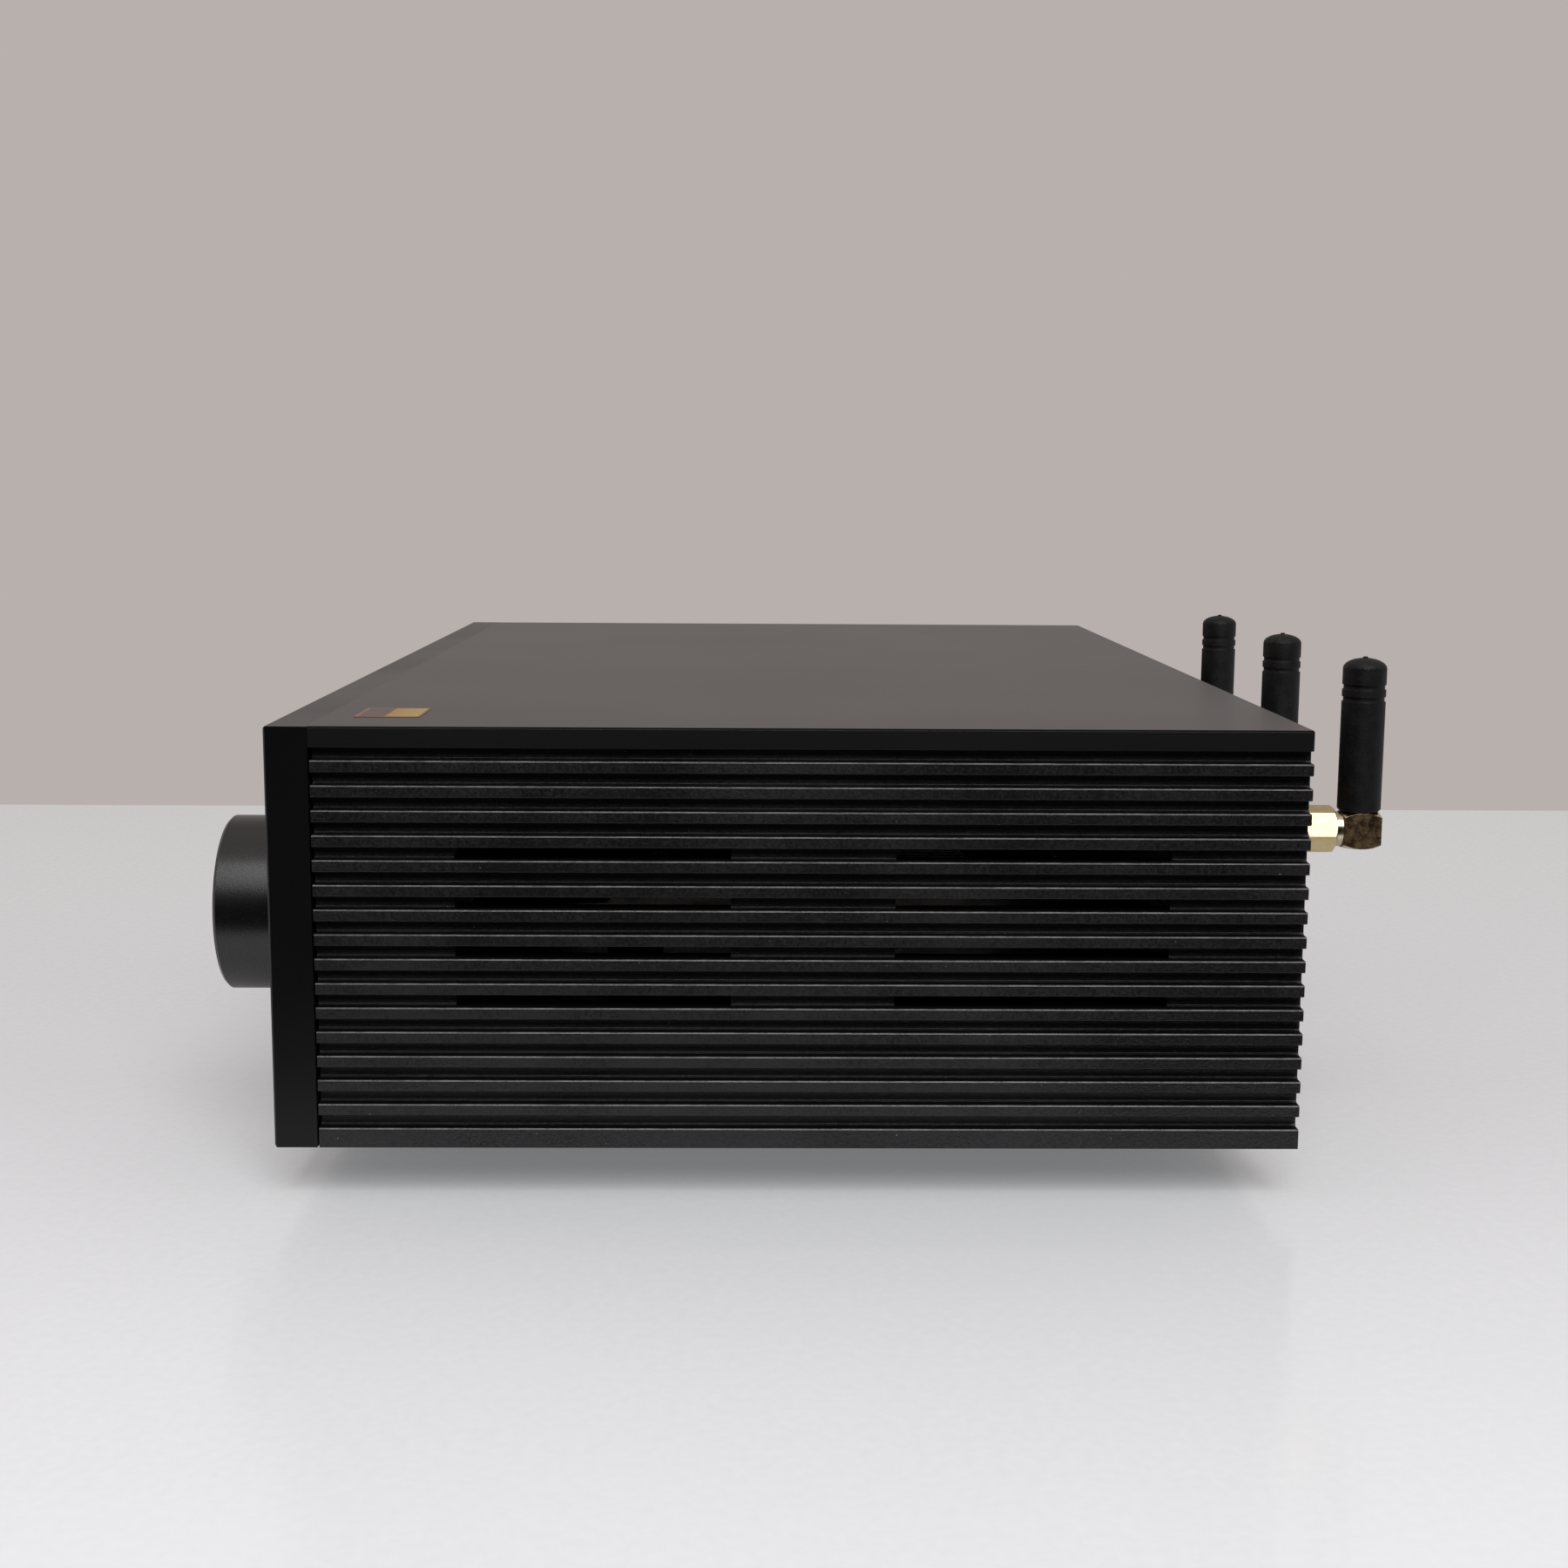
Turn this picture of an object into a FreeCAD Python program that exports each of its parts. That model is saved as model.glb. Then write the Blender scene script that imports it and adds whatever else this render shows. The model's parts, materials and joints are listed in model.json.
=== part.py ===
"""A low aluminium media player with finned sides, one front knob, three rear antennas and a rear drive tray.

The part stands on its feet: Z is up, the front faces -Y, the right side faces +X, and the origin lies under
the middle of the overall size, on the surface the feet stand on. All lengths are millimetres.
"""

import FreeCAD, Part
import math
import os
import re
import Sketcher

# Driving dimensions: alias, value and meaning. Every other size is worked out from these.
SIZES = (
    # Case
    ("case_width", "270", "width of the case"),
    ("case_depth", "184", "front face to rear edge"),
    ("case_height", "76", "lower edge to top face"),
    ("foot_height", "9.7", "case's lower edge above the surface"),
    ("seam_gap", "0.3", "dark line behind the front plate"),
    ("cover_thickness", "3.7", "top cover"),
    ("cover_gap", "0.05", "top cover behind the front plate"),
    ("cover_chamfer", "0.3", "broken edge of the top cover"),
    ("cover_corner", "0.5", "rear corner radius of the top cover"),
    ("bottom_rise", "1.0", "bottom plate above the case's lower edge"),
    ("bottom_thickness", "2.0", "bottom plate"),
    ("panel_thickness", "2.0", "rear panel"),
    ("panel_recess", "1.0", "rear panel inside the rear edge"),
    ("frame_thickness", "1.5", "steel frame behind the front plate"),
    ("label_width", "14.2", "foil label, across the case"),
    ("label_depth", "11.8", "foil label, front to back"),
    ("label_inset", "14.5", "foil label from the right side"),
    ("label_setback", "13.2", "foil label behind the front face"),
    ("label_thickness", "0.12", "foil label"),
    # Finned side panels
    ("side_wall", "3.2", "wall behind the grooves"),
    ("groove_depth", "2.4", "groove between two fins"),
    ("groove_height", "2.28", "groove between two fins"),
    ("groove_count", "16", "grooves from band to cover"),
    ("groove_corner", "0.3", "corner at the groove's floor"),
    ("fin_chamfer", "0.2", "broken edge of a fin"),
    ("band_height", "3.6", "plain band below the lowest groove"),
    ("rib_size", "6.0", "square rib inside the wall"),
    ("vent_rows", "4", "rows of vent slots"),
    ("vent_lowest", "5", "grooves below the lowest vent row"),
    ("vent_step", "2", "grooves from one vent row to the next"),
    ("vent_setback", "32.6", "first slot behind the front face"),
    ("vent_length", "49", "one slot"),
    ("vent_spacing", "78.3", "slot to slot in a row"),
    # Front plate, display
    ("plate_thickness", "7.7", "front plate"),
    ("plate_chamfer", "0.4", "broken edge round the front plate"),
    ("window_inset", "13", "window from the left side"),
    ("window_width", "170", "display glass pocket"),
    ("window_height", "58", "display glass pocket"),
    ("window_corner", "3", "corner radius of the glass pocket"),
    ("glass_thickness", "1.2", "display glass"),
    ("glass_gap", "0.1", "glass to its pocket, all round"),
    ("glass_ledge", "3", "ledge that carries the glass"),
    ("module_gap", "0.3", "display module to its opening"),
    ("module_flange", "2.0", "flange of the display module"),
    ("ribbon_width", "20", "display ribbon"),
    ("ribbon_thickness", "0.3", "display ribbon"),
    # Knob and rotary encoder
    ("knob_inset", "38", "knob axis from the right side"),
    ("knob_rise", "37.2", "knob axis above the case's lower edge"),
    ("knob_diameter", "33.6", "knob"),
    ("knob_reach", "15.5", "knob in front of the front face"),
    ("knob_chamfer", "0.6", "broken edge of the knob's face"),
    ("knob_face", "3.0", "metal between the shaft's end and the knob's face"),
    ("knob_gap", "1.2", "knob's back above the recess floor"),
    ("knob_hollow", "24", "hollow in the knob's back, diameter"),
    ("hollow_depth", "4.4", "hollow in the knob's back"),
    ("recess_depth", "1.5", "recess round the knob"),
    ("recess_margin", "0.7", "recess beyond the knob's edge"),
    ("shaft_diameter", "6.0", "encoder shaft"),
    ("shaft_fit", "0.05", "running clearance of the shaft, radial"),
    ("bush_diameter", "8.0", "threaded bush of the encoder"),
    ("bush_length", "6.0", "threaded bush of the encoder"),
    ("bush_fit", "0.1", "bush to the plate's hole, radial"),
    ("encoder_size", "12", "encoder body, square"),
    ("encoder_length", "6.5", "encoder body"),
    ("encoder_pocket", "2.5", "pocket for the encoder in the plate's back"),
    ("pocket_margin", "0.5", "encoder to its pocket"),
    ("chamber_wall", "1.5", "front and back wall of the encoder"),
    ("chamber_diameter", "9.0", "chamber in the encoder"),
    ("collar_diameter", "8.0", "collar that keeps the shaft"),
    ("collar_thickness", "1.0", "collar and plunger disc"),
    ("collar_gap", "0.3", "collar behind the chamber's front wall"),
    ("plunger_gap", "0.05", "shaft's end to the plunger"),
    ("stem_diameter", "2.8", "plunger stem"),
    ("stem_fit", "0.1", "plunger stem to its hole, radial"),
    ("stem_reach", "0.9", "plunger stem behind the encoder"),
    ("press_travel", "0.8", "press stroke of the knob"),
    ("press_spare", "0.2", "plunger to switch beyond the stroke"),
    ("bush_nut_flats", "11", "encoder nut across flats"),
    ("bush_nut_thickness", "2.0", "encoder nut"),
    ("switch_size", "6.0", "push switch, square"),
    ("switch_height", "3.5", "push switch"),
    ("switch_board_size", "20", "board behind the encoder, square"),
    ("pillar_diameter", "3.6", "pillars of the switch board"),
    ("grub_diameter", "3.0", "knob's grub screw"),
    ("grub_recess", "1.0", "grub screw below the knob's edge"),
    # Feet and screws
    ("foot_diameter", "34", "foot"),
    ("foot_side_inset", "55", "foot axis from the side"),
    ("foot_front_inset", "34", "foot axis behind the front face"),
    ("foot_rear_inset", "30", "foot axis from the rear edge"),
    ("foot_chamfer", "0.8", "broken edge of the foot"),
    ("pad_diameter", "26", "rubber pad"),
    ("pad_thickness", "2.4", "rubber pad"),
    ("pad_proud", "0.8", "rubber pad below the foot"),
    ("pad_fit", "0.1", "rubber pad to the foot, radial"),
    ("screw_diameter", "2.8", "case screws"),
    ("screw_fit", "0.1", "screw to its hole, radial"),
    ("rib_bite", "6", "case screws into a rib"),
    ("plate_bite", "5", "screws into the front plate"),
    ("hole_spare", "0.5", "hole beyond a screw's tip"),
    ("head_gap", "0.2", "pad to the foot's screw head"),
    ("head_room", "0.4", "hollow round the foot's screw head"),
    ("head_diameter", "5.0", "screw head"),
    ("head_height", "1.7", "screw head"),
    ("head_chamfer", "0.4", "broken edge of the screw head"),
    ("hex_key", "2.0", "hexagon socket across flats"),
    ("hex_depth", "1.0", "hexagon socket"),
    ("corner_screw_inset", "12", "plate screws from the inner wall"),
    ("rib_screw_margin", "12", "first and last rib screw from the rib's ends"),
    ("cover_bite", "2.2", "cover screws into the cover"),
    # Antennas and their jacks
    ("antenna_inset", "34", "first antenna from the right side"),
    ("antenna_spacing", "62.8", "antenna to antenna"),
    ("antenna_drop", "23.0", "antenna jack below the top face"),
    ("jack_diameter", "6.2", "threaded barrel of the jack"),
    ("jack_reach", "10.2", "jack behind the rear edge"),
    ("jack_flange", "9.0", "flange inside the panel, diameter"),
    ("jack_flange_thickness", "1.5", "flange inside the panel"),
    ("jack_tail_diameter", "4.0", "solder tail of the jack"),
    ("jack_tail", "6.0", "solder tail of the jack"),
    ("jack_fit", "0.08", "thread clearance, radial"),
    ("panel_nut_flats", "8.0", "jack's panel nut across flats"),
    ("panel_nut_thickness", "2.0", "jack's panel nut"),
    ("coupling_flats", "8.0", "coupling nut across flats"),
    ("coupling_start", "7.3", "coupling nut behind the rear edge"),
    ("coupling_length", "6.0", "coupling nut"),
    ("coupling_lip", "1.2", "inner lip of the coupling nut"),
    ("coupling_chamfer", "0.45", "turned corner of the coupling nut"),
    ("corner_spare", "0.05", "turning beyond a block's corners"),
    ("coupling_turn", "19.3", "coupling nut away from corner up, degrees"),
    ("neck_diameter", "5.3", "neck of the elbow"),
    ("neck_fit", "0.08", "neck to the coupling's lip, radial"),
    ("neck_flange", "6.0", "flange that keeps the coupling, diameter"),
    ("neck_flange_thickness", "0.9", "flange that keeps the coupling"),
    ("neck_flange_gap", "0.1", "flange to the coupling's lip"),
    ("neck_collar", "6.8", "collar between coupling nut and block, diameter"),
    ("neck_collar_gap", "0.1", "collar to the coupling nut"),
    ("elbow_size", "7.2", "elbow block, square"),
    ("elbow_height", "6.9", "elbow block"),
    ("elbow_turning", "0.85", "turned corner of the elbow block"),
    ("whip_setback", "18.2", "whip axis behind the rear edge"),
    ("whip_diameter", "8.2", "whip"),
    ("whip_rise", "10.3", "whip's tip above the top face"),
    ("whip_foot_gap", "0.05", "whip above the elbow block"),
    ("whip_round", "0.5", "rounded lower edge of the whip"),
    ("dome_height", "2.0", "dome of the whip"),
    ("nub_height", "0.25", "moulding nub on the dome"),
    ("nub_diameter", "0.9", "moulding nub on the dome"),
    ("whip_head", "3.1", "band under the dome"),
    ("whip_ring", "1.4", "ring between the whip's two grooves"),
    ("whip_groove", "0.9", "groove of the whip, along it"),
    ("whip_groove_depth", "0.25", "groove of the whip"),
    ("core_diameter", "2.4", "metal core from the elbow into the whip"),
    ("core_length", "8", "metal core above the elbow block"),
    ("core_fit", "0.05", "core to the whip, radial"),
    # Mains inlet and power rocker
    ("inlet_inset", "24", "mains inlet from the left side"),
    ("inlet_rise", "30", "mains inlet above the case's lower edge"),
    ("inlet_width", "27", "mains inlet body"),
    ("inlet_height", "19.6", "mains inlet body"),
    ("inlet_depth", "17", "mains inlet body behind its flange"),
    ("flange_margin", "2.0", "flange beyond the body"),
    ("flange_thickness", "2.4", "mains inlet flange"),
    ("flange_corner", "3.0", "cut corner of the flange"),
    ("cavity_width", "24.0", "mains socket cavity"),
    ("cavity_height", "16.2", "mains socket cavity"),
    ("cavity_depth", "15.4", "mains socket cavity"),
    ("cavity_corner", "4.5", "cut corner of the cavity"),
    ("blade_width", "2.0", "mains blade, across"),
    ("blade_height", "4.0", "mains blade, up"),
    ("blade_spacing", "14", "live to neutral blade"),
    ("blade_offset", "2.0", "blades above or below the cavity's middle"),
    ("blade_recess", "4.8", "blade tips inside the mouth"),
    ("cutout_gap", "0.2", "panel opening round a connector"),
    ("rocker_rise", "57", "rocker above the case's lower edge"),
    ("rocker_length", "16.6", "rocker"),
    ("rocker_height", "10.4", "rocker, along its pin"),
    ("rocker_wing", "3.6", "rocker's ends above its pin"),
    ("rocker_valley", "2.2", "rocker's middle above its pin"),
    ("rocker_tilt", "10", "rocker away from level, degrees"),
    ("rocker_clearance", "0.7", "rocker to its frame"),
    ("rocker_pin", "2.0", "rocker pin, diameter"),
    ("rocker_pin_fit", "0.05", "rocker to its pin, radial"),
    ("rocker_pin_depth", "3.0", "rocker pin below the frame's face"),
    ("rocker_skirt", "3.0", "rocker's ends, thick"),
    ("rocker_keel", "2.6", "rocker below its pin"),
    ("rocker_keel_width", "7", "rocker's lower edge"),
    ("rocker_body_depth", "13", "rocker frame behind its flange"),
    ("rocker_wall", "1.2", "rocker frame wall"),
    # Phono jacks and data ports
    ("phono_rise", "33", "middle of the phono block above the lower edge"),
    ("phono_spacing", "18", "phono jack to phono jack"),
    ("phono_diameter", "8.3", "phono barrel"),
    ("phono_bore", "6.8", "phono barrel inside"),
    ("phono_reach", "9", "phono barrel behind the panel"),
    ("phono_flange", "11.5", "phono collar, diameter"),
    ("phono_flange_thickness", "1.2", "phono collar"),
    ("phono_pin_bore", "3.2", "hole for the plug's pin"),
    ("phono_core_recess", "0.6", "insulator inside the barrel's mouth"),
    ("phono_fit", "0.1", "insulator to barrel, radial"),
    ("phono_block", "14", "phono housing depth"),
    ("phono_margin", "6", "phono housing beyond the outer axes"),
    ("network_offset", "31", "network port from the main board's left edge"),
    ("network_width", "16", "network port shell"),
    ("network_height", "13.6", "network port shell"),
    ("network_depth", "21", "network port shell"),
    ("network_mouth_width", "11.8", "network port mouth"),
    ("network_mouth_height", "8.0", "network port mouth"),
    ("network_mouth_depth", "14", "network port mouth"),
    ("network_mouth_rise", "2.6", "network port mouth above the board"),
    ("latch_width", "6.4", "network plug's latch slot"),
    ("latch_height", "1.6", "network plug's latch slot"),
    ("usb_offset", "53", "USB port from the main board's left edge"),
    ("usb_width", "14.4", "USB shell"),
    ("usb_height", "15.8", "USB shell, two sockets high"),
    ("usb_depth", "17.5", "USB shell"),
    ("usb_mouth_width", "12.6", "USB mouth"),
    ("usb_mouth_height", "5.2", "USB mouth"),
    ("usb_mouth_depth", "12", "USB mouth"),
    ("usb_mouth_rise", "1.4", "lower USB mouth above the board"),
    ("usb_pitch", "7.8", "USB mouth to USB mouth"),
    ("video_offset", "10", "video port from the main board's left edge"),
    ("video_width", "15.6", "video port shell"),
    ("video_height", "6.6", "video port shell"),
    ("video_depth", "12", "video port shell"),
    ("video_mouth_width", "14", "video mouth"),
    ("video_mouth_height", "4.6", "video mouth"),
    ("video_mouth_depth", "9", "video mouth"),
    ("video_mouth_rise", "1.0", "video mouth above the board"),
    ("video_mouth_corner", "1.4", "cut corner of the video mouth"),
    ("tongue_inset", "1.0", "tongue beside the mouth's sides"),
    ("usb_tongue", "1.8", "USB tongue"),
    ("usb_tongue_rise", "2.7", "USB tongue above the mouth's floor"),
    ("video_tongue", "1.0", "video tongue"),
    ("video_tongue_rise", "2.1", "video tongue above the mouth's floor"),
    ("tongue_recess", "0.6", "tongues inside the mouth"),
    ("port_proud", "0.5", "port shells behind the panel"),
    # Boards and what they carry
    ("board_thickness", "1.6", "circuit boards"),
    ("standoff_height", "6", "boards above the bottom plate"),
    ("standoff_diameter", "5", "board pillars"),
    ("board_hole_inset", "5", "board screws from the board's edges"),
    ("port_screw_setback", "24", "board screws in front of the connectors"),
    ("board_screw_length", "5", "board screws, under the head"),
    ("board_rear_gap", "1.0", "boards in front of the rear panel"),
    ("supply_board_inset", "13", "power supply board from the left side"),
    ("supply_board_width", "31", "power supply board"),
    ("supply_board_depth", "96", "power supply board"),
    ("supply_setback", "32", "power supply board in front of the rear panel"),
    ("audio_board_width", "36", "audio board"),
    ("audio_board_depth", "110", "audio board"),
    ("main_board_width", "62", "main board"),
    ("main_board_depth", "132", "main board"),
    ("board_gap", "2", "board to board"),
    ("processor_size", "16", "processor, square"),
    ("processor_height", "1.4", "processor"),
    ("processor_setback", "62", "processor in front of the main board's rear edge"),
    ("sink_size", "40", "heat sink, square"),
    ("sink_height", "14", "heat sink"),
    ("sink_base", "3", "heat sink base"),
    ("sink_fin_pitch", "4", "heat sink fins"),
    ("sink_fin_gap", "2.6", "heat sink, between fins"),
    ("transformer_width", "26", "transformer"),
    ("transformer_depth", "30", "transformer"),
    ("transformer_height", "24", "transformer"),
    ("capacitor_diameter", "12", "supply capacitors"),
    ("capacitor_height", "20", "supply capacitors"),
    ("capacitor_pitch", "15", "capacitor to capacitor"),
    ("audio_capacitor_diameter", "8", "audio capacitors"),
    ("audio_capacitor_height", "11", "audio capacitors"),
    # Drive bay and tray
    ("cage_gap", "1.2", "drive cage to the main board"),
    ("tray_rise", "8", "tray front above the case's lower edge"),
    ("tray_front_width", "84", "tray front"),
    ("tray_front_height", "18", "tray front"),
    ("tray_front_thickness", "7.5", "tray front"),
    ("tray_front_chamfer", "0.5", "broken edge of the tray front"),
    ("tray_proud", "1.0", "tray front behind the panel"),
    ("tray_gap", "0.5", "tray front to the panel's opening"),
    ("carrier_rise", "2.5", "carrier above the tray front's lower edge"),
    ("carrier_width", "76", "carrier"),
    ("carrier_height", "13", "carrier"),
    ("carrier_wall", "1.8", "carrier side wall"),
    ("carrier_floor", "1.5", "carrier floor"),
    ("tongue_reach", "1.6", "carrier's side tongue"),
    ("tongue_height", "2.4", "carrier's side tongue"),
    ("rail_gap", "0.3", "carrier to its rails, all round"),
    ("rail_thickness", "2.4", "guide rail"),
    ("rail_height", "8", "guide rail"),
    ("cage_sheet", "1.2", "drive cage sheet"),
    ("cage_flange", "7", "drive cage foot"),
    ("cage_headroom", "1.5", "cage above the carrier"),
    ("cage_margin", "3", "cage beyond the backplane board"),
    ("drive_width", "69.9", "hard drive"),
    ("drive_length", "100.2", "hard drive"),
    ("drive_height", "9.5", "hard drive"),
    ("drive_lift", "0.3", "hard drive above the carrier's floor"),
    ("drive_front_gap", "1.5", "hard drive to the tray front"),
    ("drive_step", "1.2", "step round the drive's lid"),
    ("drive_hole_spacing", "61.7", "drive screw to drive screw, across"),
    ("plug_width", "34", "drive's connector recess"),
    ("plug_rise", "1.2", "drive's connector recess above its underside"),
    ("plug_height", "4.2", "drive's connector recess"),
    ("plug_depth", "4.5", "drive's connector recess"),
    ("drive_screw_setback", "14", "first drive screw from the connector's end"),
    ("drive_screw_spacing", "76.6", "drive screw to drive screw, front to back"),
    ("drive_bite", "2.5", "drive screws into the drive"),
    ("socket_width", "32", "drive socket"),
    ("socket_height", "3.4", "drive socket"),
    ("socket_gap", "0.3", "drive socket to the drive"),
    ("backplane_height", "16", "backplane board"),
    ("backplane_gap", "2.0", "backplane board to the drive"),
    # Tray lever
    ("lever_margin", "9", "lever pin from the tray front's end"),
    ("lever_length", "46", "lever beyond its pin"),
    ("lever_height", "9", "lever, along its pin"),
    ("lever_thickness", "2.6", "lever"),
    ("lever_gap", "0.35", "lever to its pocket"),
    ("lever_pin_diameter", "1.6", "lever pin"),
    ("lever_pin_fit", "0.05", "lever to its pin, radial"),
    ("lever_pin_seat", "2.5", "lever pin into the tray front, each end"),
    ("notch_under", "8", "finger notch under the lever's end"),
    ("notch_beyond", "6", "finger notch beyond the lever's end"),
    ("notch_depth", "5.6", "finger notch"),
)

doc = FreeCAD.newDocument("media_player")
sheet = doc.addObject("Spreadsheet::Sheet", "Sizes")
for row, (alias, value, meaning) in enumerate(SIZES, start=1):
    sheet.set(f"A{row}", alias)
    sheet.set(f"B{row}", value)
    sheet.set(f"C{row}", meaning)
    sheet.setAlias(f"B{row}", alias)
doc.recompute()

# Ways a piece can be turned: local Z becomes the named direction.
UPRIGHT = FreeCAD.Rotation()
DOWNWARD = FreeCAD.Rotation(FreeCAD.Vector(1, 0, 0), 180)
TO_FRONT = FreeCAD.Rotation(FreeCAD.Vector(1, 0, 0), 90)
TO_REAR = FreeCAD.Rotation(FreeCAD.Vector(0, 1, 1), 180)

# Straight steps round the dome of a whip
DOME_STEPS = 6

# Two edges' middles nearer than this lie on the same line or face.
CLOSE = 0.001

# Planes of the case, as formulas of the sizes
FRONT = "((knob_reach - case_depth - whip_setback - whip_diameter / 2) / 2)"
REAR = f"({FRONT} + case_depth)"
PLATE_BACK = f"({FRONT} + plate_thickness)"
CHASSIS_FRONT = f"({PLATE_BACK} + seam_gap)"
FRAME_BACK = f"({CHASSIS_FRONT} + frame_thickness)"
CHASSIS_LENGTH = "(case_depth - plate_thickness - seam_gap)"
PANEL_OUT = f"({REAR} - panel_recess)"
PANEL_IN = f"({PANEL_OUT} - panel_thickness)"
SIDE = "(case_width / 2)"
INNER = "(case_width / 2 - side_wall - groove_depth)"
TOP = "(foot_height + case_height)"
WALL_HEIGHT = "(case_height - cover_thickness)"
COVER_LOW = f"(foot_height + {WALL_HEIGHT})"
BOTTOM_LOW = "(foot_height + bottom_rise)"
BOTTOM_TOP = "(foot_height + bottom_rise + bottom_thickness)"
INNER_HEIGHT = f"({WALL_HEIGHT} - bottom_rise - bottom_thickness)"
HOLE = "(screw_diameter + 2 * screw_fit)"

nodes = []


def formula(text):
    """Name each size in a formula as the sheet's own."""
    return re.sub(r"\b[a-z]+(?:_[a-z]+)+\b", lambda word: "Sizes." + word.group(), text)


def bind(item, **formulas):
    """Bind an object's properties to formulas."""
    for name, text in formulas.items():
        item.setExpression(name, formula(text))
    return item


def place(item, at, turn=UPRIGHT):
    """Stand an object's own origin at a point, turned."""
    item.Placement = FreeCAD.Placement(FreeCAD.Vector(), turn)
    for axis, text in zip("xyz", at):
        item.setExpression(f"Placement.Base.{axis}", formula(text))
    return item


def keep(item):
    """Count an object as a node of the finished part."""
    nodes.append(item)
    return item


def rectangle(left, low, wide, high):
    """Corners of an upright rectangle."""
    right = f"({left}) + ({wide})"
    above = f"({low}) + ({high})"
    return [(left, low), (right, low), (right, above), (left, above)]


def hexagon(flats):
    """Corners of a hexagon round the origin, across its flats."""
    radius = f"(({flats}) / (2 * cos(30)))"
    return [(f"{radius} * cos({angle})", f"{radius} * sin({angle})") for angle in range(0, 360, 60)]


def disc(across, up, diameter):
    """A circle's middle and diameter."""
    return {"middle": (across, up), "diameter": diameter}


def tie(sketch, element, point, at):
    """Hold a sketch point at a place measured from the sketch's origin."""
    for kind, text in zip(("DistanceX", "DistanceY"), at):
        number = sketch.addConstraint(Sketcher.Constraint(kind, -1, 1, element, point, 1.0))
        sketch.setExpression(f"Constraints[{number}]", formula(text))


def draw_outline(sketch, corners):
    """Draw a closed outline, started on a rough ring and pulled to its corners by the constraints."""
    first = sketch.GeometryCount
    count = len(corners)
    ring = [
        FreeCAD.Vector(math.cos(math.tau * step / count), math.sin(math.tau * step / count), 0)
        for step in range(count)
    ]
    for step in range(count):
        sketch.addGeometry(Part.LineSegment(ring[step], ring[(step + 1) % count]), False)
    for step, corner in enumerate(corners):
        following = first + (step + 1) % count
        sketch.addConstraint(Sketcher.Constraint("Coincident", first + step, 2, following, 1))
        tie(sketch, first + step, 1, corner)


def draw_circle(sketch, circle):
    """Draw a circle held by its middle and diameter."""
    rough = Part.Circle(FreeCAD.Vector(1, 1, 0), FreeCAD.Vector(0, 0, 1), 1.0)
    number = sketch.addGeometry(rough, False)
    tie(sketch, number, 3, circle["middle"])
    size = sketch.addConstraint(Sketcher.Constraint("Diameter", number, 1.0))
    sketch.setExpression(f"Constraints[{size}]", formula(circle["diameter"]))


def new_body(name, at, turn=UPRIGHT):
    """Start a PartDesign body at its place."""
    body = doc.addObject("PartDesign::Body", name)
    body.Label = name
    return place(body, at, turn)


def origin_part(body, role):
    """Find one of a body's own origin planes or axes."""
    return next(item for item in body.Origin.OriginFeatures if item.Role == role)


def new_sketch(body, plane, level, shapes):
    """Draw shapes on a body's own plane, lifted to a level along that plane's axis."""
    sketch = body.newObject("Sketcher::SketchObject", body.Name + "_sketch")
    sketch.AttachmentSupport = (origin_part(body, plane), [""])
    sketch.MapMode = "FlatFace"
    sign = "-" if plane == "XZ_Plane" else ""
    sketch.setExpression("AttachmentOffset.Base.z", formula(f"{sign}({level})"))
    for shape in shapes:
        if isinstance(shape, dict):
            draw_circle(sketch, shape)
        else:
            draw_outline(sketch, shape)
    return sketch


def add(body, length, shapes, level="0", plane="XY_Plane", forward=True):
    """Pad shapes from a level, forward or backward along the plane's axis."""
    pad = body.newObject("PartDesign::Pad", body.Name + "_pad")
    pad.Profile = new_sketch(body, plane, level, shapes)
    pad.Reversed = forward == (plane == "XZ_Plane")
    return bind(pad, Length=length)


def cut(body, length, shapes, level="0", plane="XY_Plane", forward=True):
    """Pocket shapes from a level, forward or backward along the plane's axis; no length cuts all the way."""
    pocket = body.newObject("PartDesign::Pocket", body.Name + "_pocket")
    pocket.Profile = new_sketch(body, plane, level, shapes)
    pocket.Reversed = forward != (plane == "XZ_Plane")
    if length is None:
        pocket.Type = "ThroughAll"
        return pocket
    return bind(pocket, Length=length)


def turn_solid(body, corners):
    """Turn an outline of (radius, height) corners round the body's Z axis."""
    revolution = body.newObject("PartDesign::Revolution", body.Name + "_turning")
    sketch = new_sketch(body, "XZ_Plane", "0", [corners])
    revolution.Profile = sketch
    revolution.ReferenceAxis = (sketch, ["V_Axis"])
    revolution.Angle = 360.0
    return revolution


def repeat(body, feature, axis, count, length):
    """Repeat a feature in a row along one of the body's axes."""
    pattern = body.newObject("PartDesign::LinearPattern", body.Name + "_pattern")
    pattern.Originals = [feature]
    pattern.Direction = (origin_part(body, axis), [""])
    bind(pattern, Occurrences=count, Length=length)
    body.Tip = pattern
    return pattern


def edges_where(feature, test):
    """Name the edges of a feature that pass a test on their middle and direction."""
    names = []
    for number, edge in enumerate(feature.Shape.Edges, start=1):
        if isinstance(edge.Curve, Part.Line) and test(edge.CenterOfMass, edge.tangentAt(edge.FirstParameter)):
            names.append(f"Edge{number}")
    return names


def dress(body, kind, amount, test):
    """Chamfer or fillet the straight edges of the body's last feature that pass a test."""
    doc.recompute()
    base = body.Tip
    edge_names = edges_where(base, test)
    feature = body.newObject("PartDesign::" + kind, body.Name + "_" + kind.lower())
    feature.Base = (base, edge_names)
    return bind(feature, **{"Size" if kind == "Chamfer" else "Radius": amount})


def amount_of(alias):
    """Read one size from the sheet."""
    return float(sheet.get(alias))


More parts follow.
